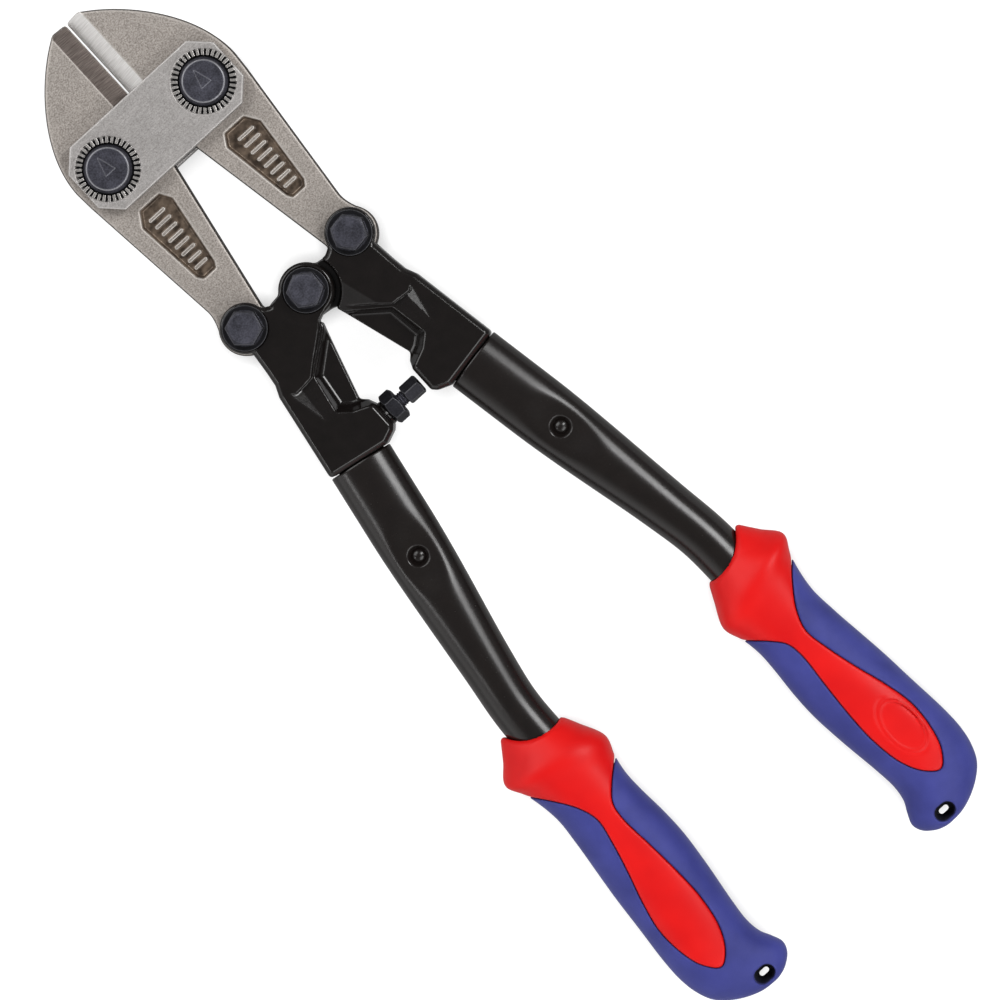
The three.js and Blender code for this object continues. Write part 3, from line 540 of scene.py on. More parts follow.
# Blackened steel: a dark blue-grey oxide. Its near-black parts are partly oil and partly
# painted shade, where the bolts' flanges lie sunk and their heads turn down; thin bright
# lines along the edges of heads and corners are partly worn oxide, partly painted highlight.
oxide_steel, tree, shader, place = new_material("blackened_bolt_steel")
grain = noise(tree, place, 0.5, 3.0)
patches = noise(tree, place, 4, 3.0)
dark = ramp(tree, blend(tree, 0.5, grain, patches, kind="FLOAT"), "#323239", "#555560", 0.35, 0.65)
oiled_and_shaded = blend(tree, mark(tree, "oil_and_shade"), dark, colour("#101012"))
looks(tree, shader, Base_Color=blend(tree, mark(tree, "edge"), oiled_and_shaded, colour("#a9a9ae")),
      Roughness=between(tree, patches, 0.38, 0.55), Normal=relief(tree, grain, 0.4, 0.04), Metallic=0.7)


def jaw_bolt_shape(x, y, z):
    radius = np.hypot(x, y)
    flange = common(radius - FLANGE_RADIUS, abs(z - FLANGE_MIDDLE) - FLANGE_HALF, 0.1)
    cone = (radius - HEAD_TOP - (HEAD_HEIGHT - z) * (HEAD_FOOT - HEAD_TOP) / HEAD_CONE) * 0.87
    head = common(common(cone, z - HEAD_HEIGHT, 0.3), HEAD_START - z)
    wedge = common(abs(x) - WEDGE_SPREAD * (WEDGE_POINT - y), abs(y - WEDGE_MIDDLE) - WEDGE_HALF)
    wedge = common(wedge, abs(z - HEAD_HEIGHT) - WEDGE_HEIGHT, 0.08)
    head = joined(head, wedge, 0.1)
    shank = common(radius - SHANK, abs(z - SHANK_MIDDLE) - SHANK_HALF, 0.5)
    return joined(joined(flange, head, 0.15), shank)


def hexagon(u, v, flats, turn):
    """Distance from a hexagon's sides, its corners at turn degrees."""
    sides = [math.radians(turn + 30 + 60 * k) for k in range(3)]
    return np.maximum.reduce([abs(u * math.cos(a) + v * math.sin(a)) for a in sides]) - flats / 2


def nut_shape(x, y, z, flats, top, bottom, hole, turn):
    radius = np.hypot(x, y)
    chamfer = (bottom - z + (radius - 0.47 * flats) * 0.55) * 0.87
    body = common(hexagon(x, y, flats, turn), span(z, bottom, top), 0.15)
    body = common(body, chamfer, 0.1)
    return common(body, hole - radius, 0.3)


def jaw_nut_shape(x, y, z):
    return nut_shape(x, y, z, JAW_NUT_FLATS, JAW_NUT_TOP, JAW_NUT_BOTTOM, SHANK + 0.1, 10)


bolt_skin = skin(jaw_bolt_shape, (-10.5, -10.5, -13.5), (10.5, 10.5, 10.5), 0.23)
bolt_radius = np.hypot(*bolt_skin[0].T[:2])
# the head's top edge and its other edges are marked bright, partly wear and partly painted highlight;
# the flange beyond the head's foot, sunk between head and bars, is marked for painted shade
rim_wear_and_highlight = np.clip(1 - abs(bolt_radius - HEAD_TOP) / 0.3, 0, 1) * (bolt_skin[0][:, 2] > 9.5)
bolt_marks = {"edge": np.maximum(0.25 * sharpness(*bolt_skin), rim_wear_and_highlight),
              "oil_and_shade": 0.9 * (bolt_radius > HEAD_FOOT)}
nut_skin = skin(jaw_nut_shape, (-10, -10, -13.5), (10, 10, -7.5), 0.25)
# the nut's edges are marked bright: partly wear, partly painted highlight
nut_marks = {"edge": 0.4 * sharpness(*nut_skin)}
for side, sign in (("right", 1), ("left", -1)):
    at = (sign * JAW_BOLT[0], JAW_BOLT[1], 0)
    bolt = made_piece(f"{side}_jaw_bolt_head_and_shank", bolt_skin, oxide_steel, bolt_marks, shift=at)
    nut = made_piece(f"{side}_jaw_bolt_nut", nut_skin, oxide_steel, nut_marks, shift=at)
    for piece, node in ((bolt, "jaw_bolt"), (nut, "jaw_nut")):
        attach(piece, "strap")
        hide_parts(f"{side}_{node}")


# ------------------------ yokes
# The handle heads: ductile iron castings 17 mm thick, enamelled gloss black. In front is
# a fork round the jaw's tail and one half of the lap on the centre bolt; behind it are a
# thin web, the stop pad, and a tang that goes into the handle tube.

YOKE_HALF = 8.5
YOKE_EDGE, BOSS_EDGE = 1.3, 0.8
RAMP_END_Y, RAMP_SLOPE = -101, 0.12
WALL_X, WALL_ACROSS, WALL_SLOPE = 21.8, (0.978, 0.208), 0.445
FACET_FOOT, FACET_ACROSS, FACET_SLOPE, FACET_END_Y = (10.4, -72.4), (-0.958, -0.286), 0.466, -86
TANG_HALF_WIDTH, TANG_HALF_HEIGHT, TANG_MIDDLE, TANG_HALF_LENGTH = 8.3, 4.2, 17, 25
RIVET_ROOM, RIVET_PAD_HALF = 4.8, 2.2
LAP_GAP = 0.15
SEAT_SINK, SEAT, WIDE_SEAT = 0.35, 7.0, 8.6
COLLAR_RADIUS, COLLAR_MIDDLE, COLLAR_HALF, SCREW_HOLE_END = 4.0, 7.6, 1.0, 28
CENTRE = (0.0, -66.6)
CENTRE_BOSS, LAP_RELIEF = 8.4, 10.4
EAR = 7.7
JAW_SLOT_HALF, JAW_SLOT_RADIUS = 4.3, 9.4
PIVOT_BORE, CENTRE_PLAY = 3.6, 1.6
WEB_HALF = 3.0
STOP_Y = -109.7
STOP_HOLE = 2.7
SPLAY = math.radians(10.3)
YOKE_END = np.array((22.8, -114.9))
RIVET_PLACE = 33.5
HANDLE_LINE = np.array((math.sin(SPLAY), -math.cos(SPLAY)))
HANDLE_SIDE = np.array((math.cos(SPLAY), math.sin(SPLAY)))

end_half = 9.95 * HANDLE_SIDE
yoke_outline = rounded([(0, -66.6), (5.6, -61.9), (8.5, -62.8), (11.2, -62.7), (13.8, -61.3),
                        (21.2, -62.7), (24.7, -70.1), (25.4, -76.6), (26.1, -81.4), (27.7, -85.0),
                        YOKE_END + end_half, YOKE_END - end_half, (9.0, -115.1), (7.6, -113.7),
                        (7.6, -105.6), (8.5, -103.0), (10.4, -101.1), (2.75, -75.6)], 1.4)
recess_outline = rounded([(1.6, -75.2), (16.3, -87.2), (18.0, -99.6), (14.1, -102.8), (9.0, -105.0),
                          (5.0, -106.5), (-6, -106), (-6, -77)], 1.2)
slot_outline = np.vstack([arc(TAIL_PIVOT, JAW_SLOT_RADIUS, 180, 360),
                          [(60, -62.7), (60, -40), (TAIL_PIVOT[0] - JAW_SLOT_RADIUS, -40)]])
neck_outline = rounded([(0, -61.2), (10.9, -62.6), (10.9, -82.3), (2.9, -75.8), (0, -74.6)], 0.4)
fork_outline = rounded([(3, -76), (13, -84), (16.5, -87), (22.8, -87.6), (26.4, -84.6), (34, -60),
                        (0, -50), (-12, -66)], 0.5)

# Gloss black stoving enamel on a casting: deep black, a little uneven where the paint
# has pulled tight over the sand-cast skin, with clear narrow reflections.
enamel, tree, shader, place = new_material("black_stoving_enamel")
pull = noise(tree, place, 3.5)
fleck = noise(tree, place, 0.8)
peel = relief(tree, pull, 0.25, 0.1)
looks(tree, shader, Base_Color=ramp(tree, pull, "#0e0b0a", "#181413"),
      Roughness=between(tree, fleck, 0.13, 0.24), Normal=relief(tree, fleck, 0.12, 0.03, under=peel),
      IOR=1.5)


def chamfered(side, face, width):
    """What a side and a face share, their edge cut off at 45 degrees to that width."""
    return common(common(side, face, 0.15), (side + face + width) * math.sqrt(0.5), 0.3)


def yoke_shape(x, y, z, screw_hole):
    """The right yoke's distance. The left yoke is the one with the stop screw's hole."""
    from_tail, from_centre = away(x, y, TAIL_PIVOT), away(x, y, CENTRE)
    from_rivet = away(x, y, YOKE_END + RIVET_PLACE * HANDLE_LINE)
    height = abs(z) - YOKE_HALF
    body = chamfered(outside(yoke_outline, x, y), height, YOKE_EDGE)
    recess = sunk(outside(recess_outline, x, y), z, YOKE_HALF, YOKE_HALF - WEB_HALF, 22, 1.2)
    body = common(body, -recess, 0.5)
    # the hollow behind the fork: a ramp that deepens forwards, with a leaning outer wall
    inward = (WALL_X - x) * WALL_ACROSS[0] + (y - RAMP_END_Y) * WALL_ACROSS[1]
    limit = YOKE_HALF - np.minimum(RAMP_SLOPE * (y - RAMP_END_Y), WALL_SLOPE * inward)
    hollow = common((limit - abs(z)) * 0.9, -outside(fork_outline, x, y))
    body = common(body, -hollow, 0.3)
    # the leaning facet beside the lap, on the lap's open side
    lean = (x - FACET_FOOT[0]) * FACET_ACROSS[0] + (y - FACET_FOOT[1]) * FACET_ACROSS[1]
    facet = common((YOKE_HALF - FACET_SLOPE * lean - z) * 0.906, FACET_END_Y - y)
    body = common(body, -facet, 0.3)
    # the ear round the jaw's tail, and the half lap on the centre bolt
    body = common(body, LAP_RELIEF - from_centre, 0.4)
    body = joined(body, chamfered(from_tail - EAR, height, BOSS_EDGE), 0.8)
    lap_height = span(z, -YOKE_HALF, -LAP_GAP)
    neck = common(outside(neck_outline, x, y), lap_height, 0.3)
    boss = chamfered(from_centre - CENTRE_BOSS, lap_height, BOSS_EDGE)
    body = joined(body, common(joined(neck, boss, 0.8), lap_height), 0.5)
    # the tang in the tube, thinner where the tube is pressed in round the rivet
    along = (x - YOKE_END[0]) * HANDLE_LINE[0] + (y - YOKE_END[1]) * HANDLE_LINE[1]
    across = (x - YOKE_END[0]) * HANDLE_SIDE[0] + (y - YOKE_END[1]) * HANDLE_SIDE[1]
    tang = common(abs(across) - TANG_HALF_WIDTH, abs(z) - TANG_HALF_HEIGHT, 4.0)
    tang = common(tang, abs(along - TANG_MIDDLE) - TANG_HALF_LENGTH, 0.5)
    body = joined(body, common(tang, -common(from_rivet - RIVET_ROOM, RIVET_PAD_HALF - abs(z))))
    # the jaw's slot, the seats of the pivot bolts, and the bores
    body = common(body, -common(outside(slot_outline, x, y), abs(z) - JAW_SLOT_HALF), 0.3)
    centre_seat = from_centre - (SEAT if screw_hole else WIDE_SEAT)
    seats = common(np.minimum(from_tail - SEAT, centre_seat), -height - SEAT_SINK)
    body = common(body, -seats, 0.1)
    body = common(body, PIVOT_BORE - from_tail)
    body = common(body, (PIVOT_BORE if screw_hole else PIVOT_BORE + CENTRE_PLAY) - from_centre)
    if screw_hole:
        from_screw = np.hypot(y - STOP_Y, z)
        collar = common(from_screw - COLLAR_RADIUS, abs(x - COLLAR_MIDDLE) - COLLAR_HALF, 0.2)
        past_end = np.maximum(x - SCREW_HOLE_END, 0)
        body = common(joined(body, collar, 0.3), STOP_HOLE - from_screw + past_end)
    return body


for side in ("right", "left"):
    yoke_skin = skin(lambda x, y, z: yoke_shape(x, y, z, side == "left"),
                     (-11, -160, -9.5), (41, -53, 9.5), 0.4)
    piece = made_piece(f"{side}_yoke_casting", yoke_skin, enamel, turned=side == "left")
    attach(piece, f"handle_{side}")
    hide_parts(f"{side}_yoke")


# ------------------------ pivot bolts
# Three flanged hexagon bolts with the same blackening as the jaw bolts, their corners
# turned well off so that the top is round. Each goes down through a yoke to a flanged
# nut of the same size on the underside.

PIVOT_FLATS = 10.0
PIVOT_SEAT, PIVOT_TOP = 8.6, 13.2
PIVOT_FLANGE = 6.9
PIVOT_CROWN = 4.6
PIVOT_SHANK, PIVOT_SHANK_MIDDLE, PIVOT_SHANK_HALF = 3.5, -2, 10.9
# name, place, the part it rides on, and the turn of its hexagon in degrees
PIVOTS = [("right_pivot", TAIL_PIVOT, "handle_right", 8), ("centre", CENTRE, "handle_left", 27),
          ("left_pivot", (-TAIL_PIVOT[0], TAIL_PIVOT[1]), "handle_left", 18)]


def pivot_head(radius, hexagonal, z, top):
    """A flanged hexagon from its seat up to a top, chamfered round."""
    chamfer = (z - top + (radius - PIVOT_CROWN) * 0.45) * 0.91
    head = common(common(hexagonal, z - top, 0.1), chamfer, 0.15)
    flange = common(radius - PIVOT_FLANGE, abs(z - PIVOT_SEAT - 0.15) - 0.25, 0.15)
    return joined(common(head, PIVOT_SEAT - z), flange, 0.15)


def pivot_bolt_shape(x, y, z, turn):
    radius = np.hypot(x, y)
    head = pivot_head(radius, hexagon(x, y, PIVOT_FLATS, turn), z, PIVOT_TOP)
    shank = common(radius - PIVOT_SHANK, abs(z - PIVOT_SHANK_MIDDLE) - PIVOT_SHANK_HALF, 0.6)
    return joined(head, shank)


def pivot_nut_shape(x, y, z, turn):
    radius = np.hypot(x, y)
    head = pivot_head(radius, hexagon(x, y, PIVOT_FLATS, turn), -z, PIVOT_TOP)
    return common(head, PIVOT_BORE - radius, 0.3)


for name, centre, body, turn in PIVOTS:
    bolt_skin = skin(lambda x, y, z: pivot_bolt_shape(x, y, z, turn),
                     (-7.5, -7.5, -13.5), (7.5, 7.5, 14), 0.22)
    nut_skin = skin(lambda x, y, z: pivot_nut_shape(x, y, z, turn),
                    (-7.5, -7.5, -14), (7.5, 7.5, -8), 0.22)
    for node, surface in ((f"{name}_bolt", bolt_skin), (f"{name}_nut", nut_skin)):
        outward = np.hypot(*surface[0].T[:2])
        # painted shade: the chamfer round the flat top and the flange in its seat are marked to be
        # darkened; the edges are marked bright, partly wear and partly painted highlight
        marks = {"edge": 0.18 * sharpness(*surface),
                 "oil_and_shade": 0.45 * (outward > PIVOT_CROWN) + 0.45 * (outward > PIVOT_FLATS / 2 + 0.55)}
        piece = made_piece(f"{node}_blackened", surface, oxide_steel, marks, shift=(*centre, 0))
        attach(piece, body)
        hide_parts(node)


# ------------------------ stop screw
# A hexagon-headed screw in the left yoke's pad stops the handles from closing too far.
# It is blackened like the bolts. A thin lock nut holds it against a collar on the pad.

STOP_SHANK, STOP_MIDDLE, STOP_HALF = 2.1, -11.3, 12
STOP_HEAD = (0.3, 6.3, 6.0)
LOCK_NUT, LOCK_NUT_BORE = (-6.5, -1.9, 9.2), 2.5
THREAD_PITCH, THREAD_CREST, THREAD_TURNS = 0.8, 2.4, 9.0


def chamfered_hexagon(x, y, z, size, turn, front, back, edge):
    """A hexagon along X of size (start, end, flats), its corners turned off at both ends."""
    start, end, flats = size
    radius = np.hypot(y, z)
    cone = (x - end + (radius - front * flats) * 0.6) * 0.86
    foot = (start - x + (radius - back * flats) * 0.6) * 0.86
    body = common(hexagon(y, z, flats, turn), span(x, start, end), edge)
    return common(body, np.maximum(cone, foot), 0.1)


def stop_screw_shape(x, y, z):
    head = chamfered_hexagon(x, y, z, STOP_HEAD, 20, 0.44, 0.47, 0.1)
    shank = common(np.hypot(y, z) - STOP_SHANK, abs(x - STOP_MIDDLE) - STOP_HALF, 0.3)
    return joined(head, shank, 0.2)


def lock_nut_shape(x, y, z):
    body = chamfered_hexagon(x, y, z, LOCK_NUT, 8, 0.46, 0.46, 0.15)
    return common(body, LOCK_NUT_BORE - np.hypot(y, z), 0.3)


screw_skin = skin(stop_screw_shape, (-24.5, -4.5, -4.5), (7.2, 4.5, 4.5), 0.18)
lock_skin = skin(lock_nut_shape, (-7.5, -6.5, -6.5), (-1, 6.5, 6.5), 0.18)
for node, surface in (("stop_screw", screw_skin), ("stop_lock_nut", lock_skin)):
    # the screw and its nut are darkened all over by oil; their edges are marked bright, partly wear and
    # partly painted highlight
    marks = {"edge": 0.25 * sharpness(*surface), "oil_and_shade": np.full(len(surface[0]), 0.75)}
    piece = made_piece(f"{node}_blackened", surface, oxide_steel, marks, shift=(0, STOP_Y, 0))
    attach(piece, node)
    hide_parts(node)

# The screw's thread: one ridge wound round the shank.
thread, given, result = new_tree("screw_thread", Turns="NodeSocketFloat", Radius="NodeSocketFloat",
                                 Length="NodeSocketFloat", Ridge="NodeSocketFloat",
                                 Finish="NodeSocketMaterial")
helix = add(thread, "GeometryNodeCurveSpiral", Resolution=28, Rotations=given["Turns"],
            Start_Radius=given["Radius"], End_Radius=given["Radius"], Height=given["Length"])
ridge = add(thread, "GeometryNodeCurvePrimitiveCircle", Resolution=4, Radius=given["Ridge"])
wound = add(thread, "GeometryNodeCurveToMesh", Curve=helix.outputs[0],
            Profile_Curve=ridge.outputs[0], Fill_Caps=True)
finished = add(thread, "GeometryNodeSetMaterial", Geometry=wound.outputs[0],
               Material=given["Finish"])
thread.links.new(finished.outputs[0], result[0])
thread_length = THREAD_TURNS * THREAD_PITCH
piece = from_tree("stop_screw_thread", thread, (-thread_length, STOP_Y, 0),
                  turn=Matrix.Rotation(math.pi / 2, 4, "Y"), Turns=THREAD_TURNS,
                  Radius=STOP_SHANK / 1000, Length=thread_length / 1000,
                  Ridge=(THREAD_CREST - STOP_SHANK) / 1000, Finish=oxide_steel)
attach(piece, "stop_screw")


# ------------------------ handle tubes
# Steel tube with a 1.5 mm wall, flattened over the yoke's tang, round in the grip, and
# bent outwards where it enters the grip. A rivet set in a deep dimple through the flat
# end holds it on the tang. Painted in the same black as the yokes.

TUBE_STRAIGHT = 72.0
TUBE_END = (20.5, 14.5)
TUBE_DIAMETER, TUBE_WALL = 15.6, 1.5
FLAT_LENGTH, TAPER_LENGTH = 22.0, 66.0
RIVET_RADIUS, RIVET_TOP, RIVET_CROWN = 2.4, 5.3, 3.0
DIMPLE_RADIUS, DIMPLE_DEPTH = 3.5, 2.0
PRESS_DEPTH, PRESS_DISH = 1.3, 45.0
TUBE_GAP = 0.3
END_EASING, END_EASED_SHARE = 0.25, 0.97
TUBE_COLUMNS = 168
ROW_STEP, FINE_STEP, INNER_STEP = 0.8, 0.3, 5
STAKED_LENGTH = 12
BEND = YOKE_END + TUBE_STRAIGHT * HANDLE_LINE + (2.43, -15.3)


def spline(knots, count, closed=False):
    """A smooth line through its knots (centripetal Catmull-Rom), count points a stretch."""
    knots = np.array(knots, float)
    if closed:
        knots = np.vstack([knots[-1], knots, knots[0], knots[1]])
    else:
        knots = np.vstack([2 * knots[0] - knots[1], knots, 2 * knots[-1] - knots[-2]])
    made = []
    for a, b, c, d in zip(knots, knots[1:], knots[2:], knots[3:]):
        gaps = [math.sqrt(np.linalg.norm(q - p)) for p, q in ((a, b), (b, c), (c, d))]
        t0, t1, t2, t3 = 0, gaps[0], gaps[0] + gaps[1], sum(gaps)
        t = np.linspace(t1, t2, count, endpoint=False)[:, None]
        ab = ((t1 - t) * a + (t - t0) * b) / (t1 - t0)
        bc = ((t2 - t) * b + (t - t1) * c) / (t2 - t1)
        cd = ((t3 - t) * c + (t - t2) * d) / (t3 - t2)
        abc = ((t2 - t) * ab + (t - t0) * bc) / (t2 - t0)
        bcd = ((t3 - t) * bc + (t - t1) * cd) / (t3 - t1)
        made.append(((t2 - t) * abc + (t - t1) * bcd) / (t2 - t1))
    line = np.vstack(made)
    return line if closed else np.vstack([line, knots[-2]])


straight = [YOKE_END + share * TUBE_STRAIGHT * HANDLE_LINE for share in (0, 0.55, 1)]
in_grip = [BEND + p for p in [(0, 0), (0.6, -14), (1.4, -42), (2.3, -61), (3.3, -79)]]
tube_line = spline([*straight, *in_grip], 60)
tube_run = np.concatenate([[0], np.cumsum(np.hypot(*np.diff(tube_line, axis=0).T))])
tube_length = tube_run[-1]


def smooth(low, high, value):
    """0 below low, 1 above high, with a smooth change between."""
    t = np.clip((value - low) / (high - low), 0, 1)
    return t * t * (3 - 2 * t)


def tube_rings(distances, inset, columns):
    """Rings of points round the handle at distances from the yoke, inset from its outside."""
    at, ahead, behind = (
        np.stack([np.interp(distances + step, tube_run, tube_line[:, k]) for k in (0, 1)], 1)
        for step in (0, 1, -1))
    run = (ahead - behind) / np.linalg.norm(ahead - behind, axis=1)[:, None]
    side = np.stack([-run[:, 1], run[:, 0]], 1)
    taper = smooth(FLAT_LENGTH, FLAT_LENGTH + TAPER_LENGTH, distances)
    width = TUBE_END[0] + (TUBE_DIAMETER - TUBE_END[0]) * taper
    height = TUBE_END[1] + (TUBE_DIAMETER - TUBE_END[1]) * taper
    turn = np.linspace(0, 2 * np.pi, columns, endpoint=False)
    squareness = 2 / (2 + 0.2 * (1 - taper))[:, None]
    c, s = np.cos(turn)[None, :], np.sin(turn)[None, :]
    across = np.sign(c) * abs(c) ** squareness * (width / 2 - inset)[:, None]
    up = np.sign(s) * abs(s) ** squareness * (height / 2 - inset)[:, None]
    x = at[:, :1] + side[:, :1] * across
    y = at[:, 1:] + side[:, 1:] * across
    return np.stack([x, y, up], 2)


def staked(rings, inset):
    """The rings pressed in round the rivet, above and below: a wide shallow dish with a dimple."""
    from_rivet = away(rings[..., 0], rings[..., 1], rivet_at)
    dish = TUBE_END[1] / 2 - inset - PRESS_DEPTH + from_rivet ** 2 / (2 * PRESS_DISH)
    dish = dish - DIMPLE_DEPTH * (1 - smooth(1.9, DIMPLE_RADIUS, from_rivet))
    up = abs(rings[..., 2])
    pressed = -0.5 * np.log(np.exp(-up / 0.5) + np.exp(-np.minimum(dish, up + 9) / 0.5))
    rings[..., 2] = np.sign(rings[..., 2]) * np.where(up > 1, pressed, up)
    return rings


rivet_at = YOKE_END + RIVET_PLACE * HANDLE_LINE
staked_start, staked_end = RIVET_PLACE - STAKED_LENGTH, RIVET_PLACE + STAKED_LENGTH
near_rivet = np.arange(staked_start, staked_end, FINE_STEP)
rows = np.concatenate([np.arange(TUBE_GAP, staked_start, ROW_STEP), near_rivet,
                       np.arange(staked_end, tube_length, ROW_STEP)])
outer = staked(tube_rings(rows, 0, TUBE_COLUMNS), 0)
inner_rows = np.concatenate([np.arange(TUBE_GAP, staked_start, INNER_STEP), near_rivet[::2],
                             np.arange(staked_end, tube_length, INNER_STEP), [rows[-1]]])
inner = staked(tube_rings(inner_rows, TUBE_WALL, TUBE_COLUMNS), TUBE_WALL)[::-1]
# the cut end's outer edge is eased: a smaller ring in the end face, the full one behind it
end_centre = np.array([*(YOKE_END + TUBE_GAP * HANDLE_LINE), 0])
lip = end_centre + (outer[:1] - end_centre) * END_EASED_SHARE
outer[0] += [*(END_EASING * HANDLE_LINE), 0]
rings = np.concatenate([outer, inner, lip])
rows_count, columns = rings.shape[:2]
near = np.arange(rows_count)[:, None] * columns + np.arange(columns)[None, :]
beside, beyond = np.roll(near, -1, 1), np.roll(near, -1, 0)
opposite = np.roll(beyond, -1, 1)
tube_faces = np.stack([near, beyond, opposite, beside], 2).reshape(-1, 4)
tube_points = rings.reshape(-1, 3)
a, b, c = (tube_points[tube_faces[:, k]] for k in range(3))
if (a * np.cross(b, c)).sum() < 0:
    tube_faces = tube_faces[:, ::-1]

# Black paint on drawn tube: smoother than on the castings and a little less glossy, so
# that its reflections are long and soft.
tube_paint, tree, shader, place = new_material("black_tube_paint")
pull = noise(tree, place, 5)
fleck = noise(tree, place, 0.7)
peel = relief(tree, pull, 0.12, 0.1)
looks(tree, shader, Base_Color=ramp(tree, pull, "#120e0d", "#1c1715"),
      Roughness=between(tree, fleck, 0.2, 0.3), Normal=relief(tree, fleck, 0.1, 0.03, under=peel),
      IOR=1.5)


def rivet_shape(x, y, z):
    from_dome = np.sqrt(x ** 2 + y ** 2 + np.maximum(abs(z) - RIVET_TOP + RIVET_CROWN, 0) ** 2)
    return common(np.hypot(x, y) - RIVET_RADIUS, from_dome - RIVET_CROWN, 0.1)


rivet_skin = skin(rivet_shape, (-3, -3, -7.5), (3, 3, 7.5), 0.2)
for side in ("right", "left"):
    turned = side == "left"
    tube = made_piece(f"{side}_bent_tube", (tube_points, tube_faces), tube_paint, turned=turned)
    rivet = made_piece(f"{side}_tang_rivet", rivet_skin, tube_paint, turned=turned,
                       shift=(*rivet_at, 0))
    for piece, node, slot in ((tube, "handle_tube", "tube_enamel"),
                              (rivet, "tube_rivet", "fastener_steel")):
        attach(piece, f"handle_{side}")
        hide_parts(f"{side}_{node}")


# ------------------------ grips
# Two-shot moulded grips. A hard red nylon core slides on the tube: it shows as the collar,
# the neck and the drop-shaped panel. Blue thermoplastic rubber is moulded round it, with a
# fine groove where the two meet, and ends in a hook with a lanyard hole.

GRIP_TALLEST, GRIP_HALF_HEIGHT = 5.4, 13.2
GRIP_SQUARENESS = 2.3
TUBE_ROOM_LENGTH = 84
SEAM_HALF, SEAM_EDGE = 0.14, 0.45
LANYARD_AT, LANYARD_HALF_LENGTH, LANYARD_HALF_WIDTH = (-1.8, -108.9), 3.4, 2.6
LANYARD_DRAFT, DRAFT_START = 0.32, 5.5
BADGE_AT, BADGE_HALF, BADGE_DEPTH = (6.2, -81.0), (6.0, 10.4), 0.5
# material beside the tube on the inner side, with where that edge lies, then the same on
# the outer side, then the crown's height over the tube
GRIP_STATIONS = [
    (0.6, -11.5, 2.0, -3.9, 1.4), (3.0, -16.5, 6.1, -9.6, 3.1), (6.4, -24.5, 10.5, -15.6, 4.8),
    (4.4, -31.0, 7.6, -22.2, 4.5), (3.4, -37.5, 5.7, -33.0, 4.0), (3.5, -44.0, 6.3, -42.5, 4.0),
    (4.1, -53.5, 7.6, -53.5, 4.6), (4.1, -62.0, 8.6, -62.0, 5.0), (2.9, -74.0, 9.6, -74.0, 5.4),
    (1.1, -87.0, 10.7, -87.0, 5.3), (0.5, -94.0, 10.7, -94.0, 4.7), (1.2, -99.0, 9.8, -99.5, 3.9),
    (2.9, -102.5, 7.7, -104.5, 3.0), (4.2, -106.0, 4.3, -108.0, 1.9), (3.1, -109.2, -0.4, -110.9, 0.7),
    (0.1, -111.7, -5.4, -112.7, -1.5), (-2.9, -113.0, -9.1, -113.1, -4.0)]
HARD_SHOT = [(26, 4), (25, -13.4), (15.4, -22.2), (9.9, -28.5), (5.7, -35), (3.9, -41), (5.2, -49),
             (7.8, -59), (10.8, -69), (12.6, -78), (12.1, -87), (10, -94), (6, -98.3), (1.9, -95.5),
             (-1.6, -89), (-3.4, -79), (-3.5, -69), (-2.8, -57), (-2, -45.5), (-2.9, -40.3),
             (-6.1, -36.3), (-12.2, -31), (-21, -25), (-22, 4)]

stations = spline(GRIP_STATIONS, 14)
left_edge = BEND + np.stack([-TUBE_DIAMETER / 2 - stations[:, 0], stations[:, 1]], 1)
right_edge = BEND + np.stack([TUBE_DIAMETER / 2 + stations[:, 2], stations[:, 3]], 1)
crown = GRIP_HALF_HEIGHT + stations[:, 4] - GRIP_TALLEST
hard_outline = BEND + spline(HARD_SHOT, 8, closed=True)


def beyond_station(k, x, y):
    """How far a point lies behind the line between the grip's edges at station k."""
    chord = right_edge[k] - left_edge[k]
    from_x, from_y = x - left_edge[k][..., 0], y - left_edge[k][..., 1]
    aside = from_y * chord[..., 0] - from_x * chord[..., 1]
    return aside / -np.hypot(chord[..., 0], chord[..., 1])


def grip_body(x, y, z):
    lag = 4.5 * (1 - smooth(0, 16, BEND[1] - 6 - y))
    x, y, z = np.broadcast_arrays(x, y + lag * np.minimum(abs(z) / 9, 1) ** 2, z)
    low = np.zeros(x.shape, int)
    high = np.full(x.shape, len(stations) - 1)
    while (high - low).max() > 1:
        middle = (low + high) // 2
        behind = beyond_station(middle, x, y) > 0
        low, high = np.where(behind, middle, low), np.where(behind, high, middle)
    before, after = beyond_station(low, x, y), beyond_station(low + 1, x, y)
    share = np.clip(before / np.maximum(before - after, 1e-6), 0, 1)
    left = left_edge[low] + (left_edge[low + 1] - left_edge[low]) * share[..., None]
    right = right_edge[low] + (right_edge[low + 1] - right_edge[low]) * share[..., None]
    height = crown[low] + (crown[low + 1] - crown[low]) * share
    half = np.linalg.norm(right - left, axis=-1) / 2
    middle = (left + right) / 2
    toward = (right - left) / (2 * half[..., None])
    across = (x - middle[..., 0]) * toward[..., 0] + (y - middle[..., 1]) * toward[..., 1]
    size = abs(across / half) ** GRIP_SQUARENESS + abs(z / height) ** GRIP_SQUARENESS
    body = (size ** (1 / GRIP_SQUARENESS) - 1) * np.minimum(half, height)
    ends = np.maximum(-beyond_station(0, x, y), beyond_station(len(stations) - 1, x, y))
    return common(body, ends, 0.9)


def tube_room(x, y, z, clearance):
    """Distance from the tube where it runs in the grip."""
    line_y, line_x = tube_line[::-1, 1], tube_line[::-1, 0]
    return np.hypot((x - np.interp(y, line_y, line_x)) * 0.995, z) - TUBE_DIAMETER / 2 - clearance


def groove(body):
    """Half the gap between the shots: it closes below the groove, where they are welded."""
    return SEAM_HALF - (SEAM_HALF + 0.1) * smooth(0.8, 1.6, -body)


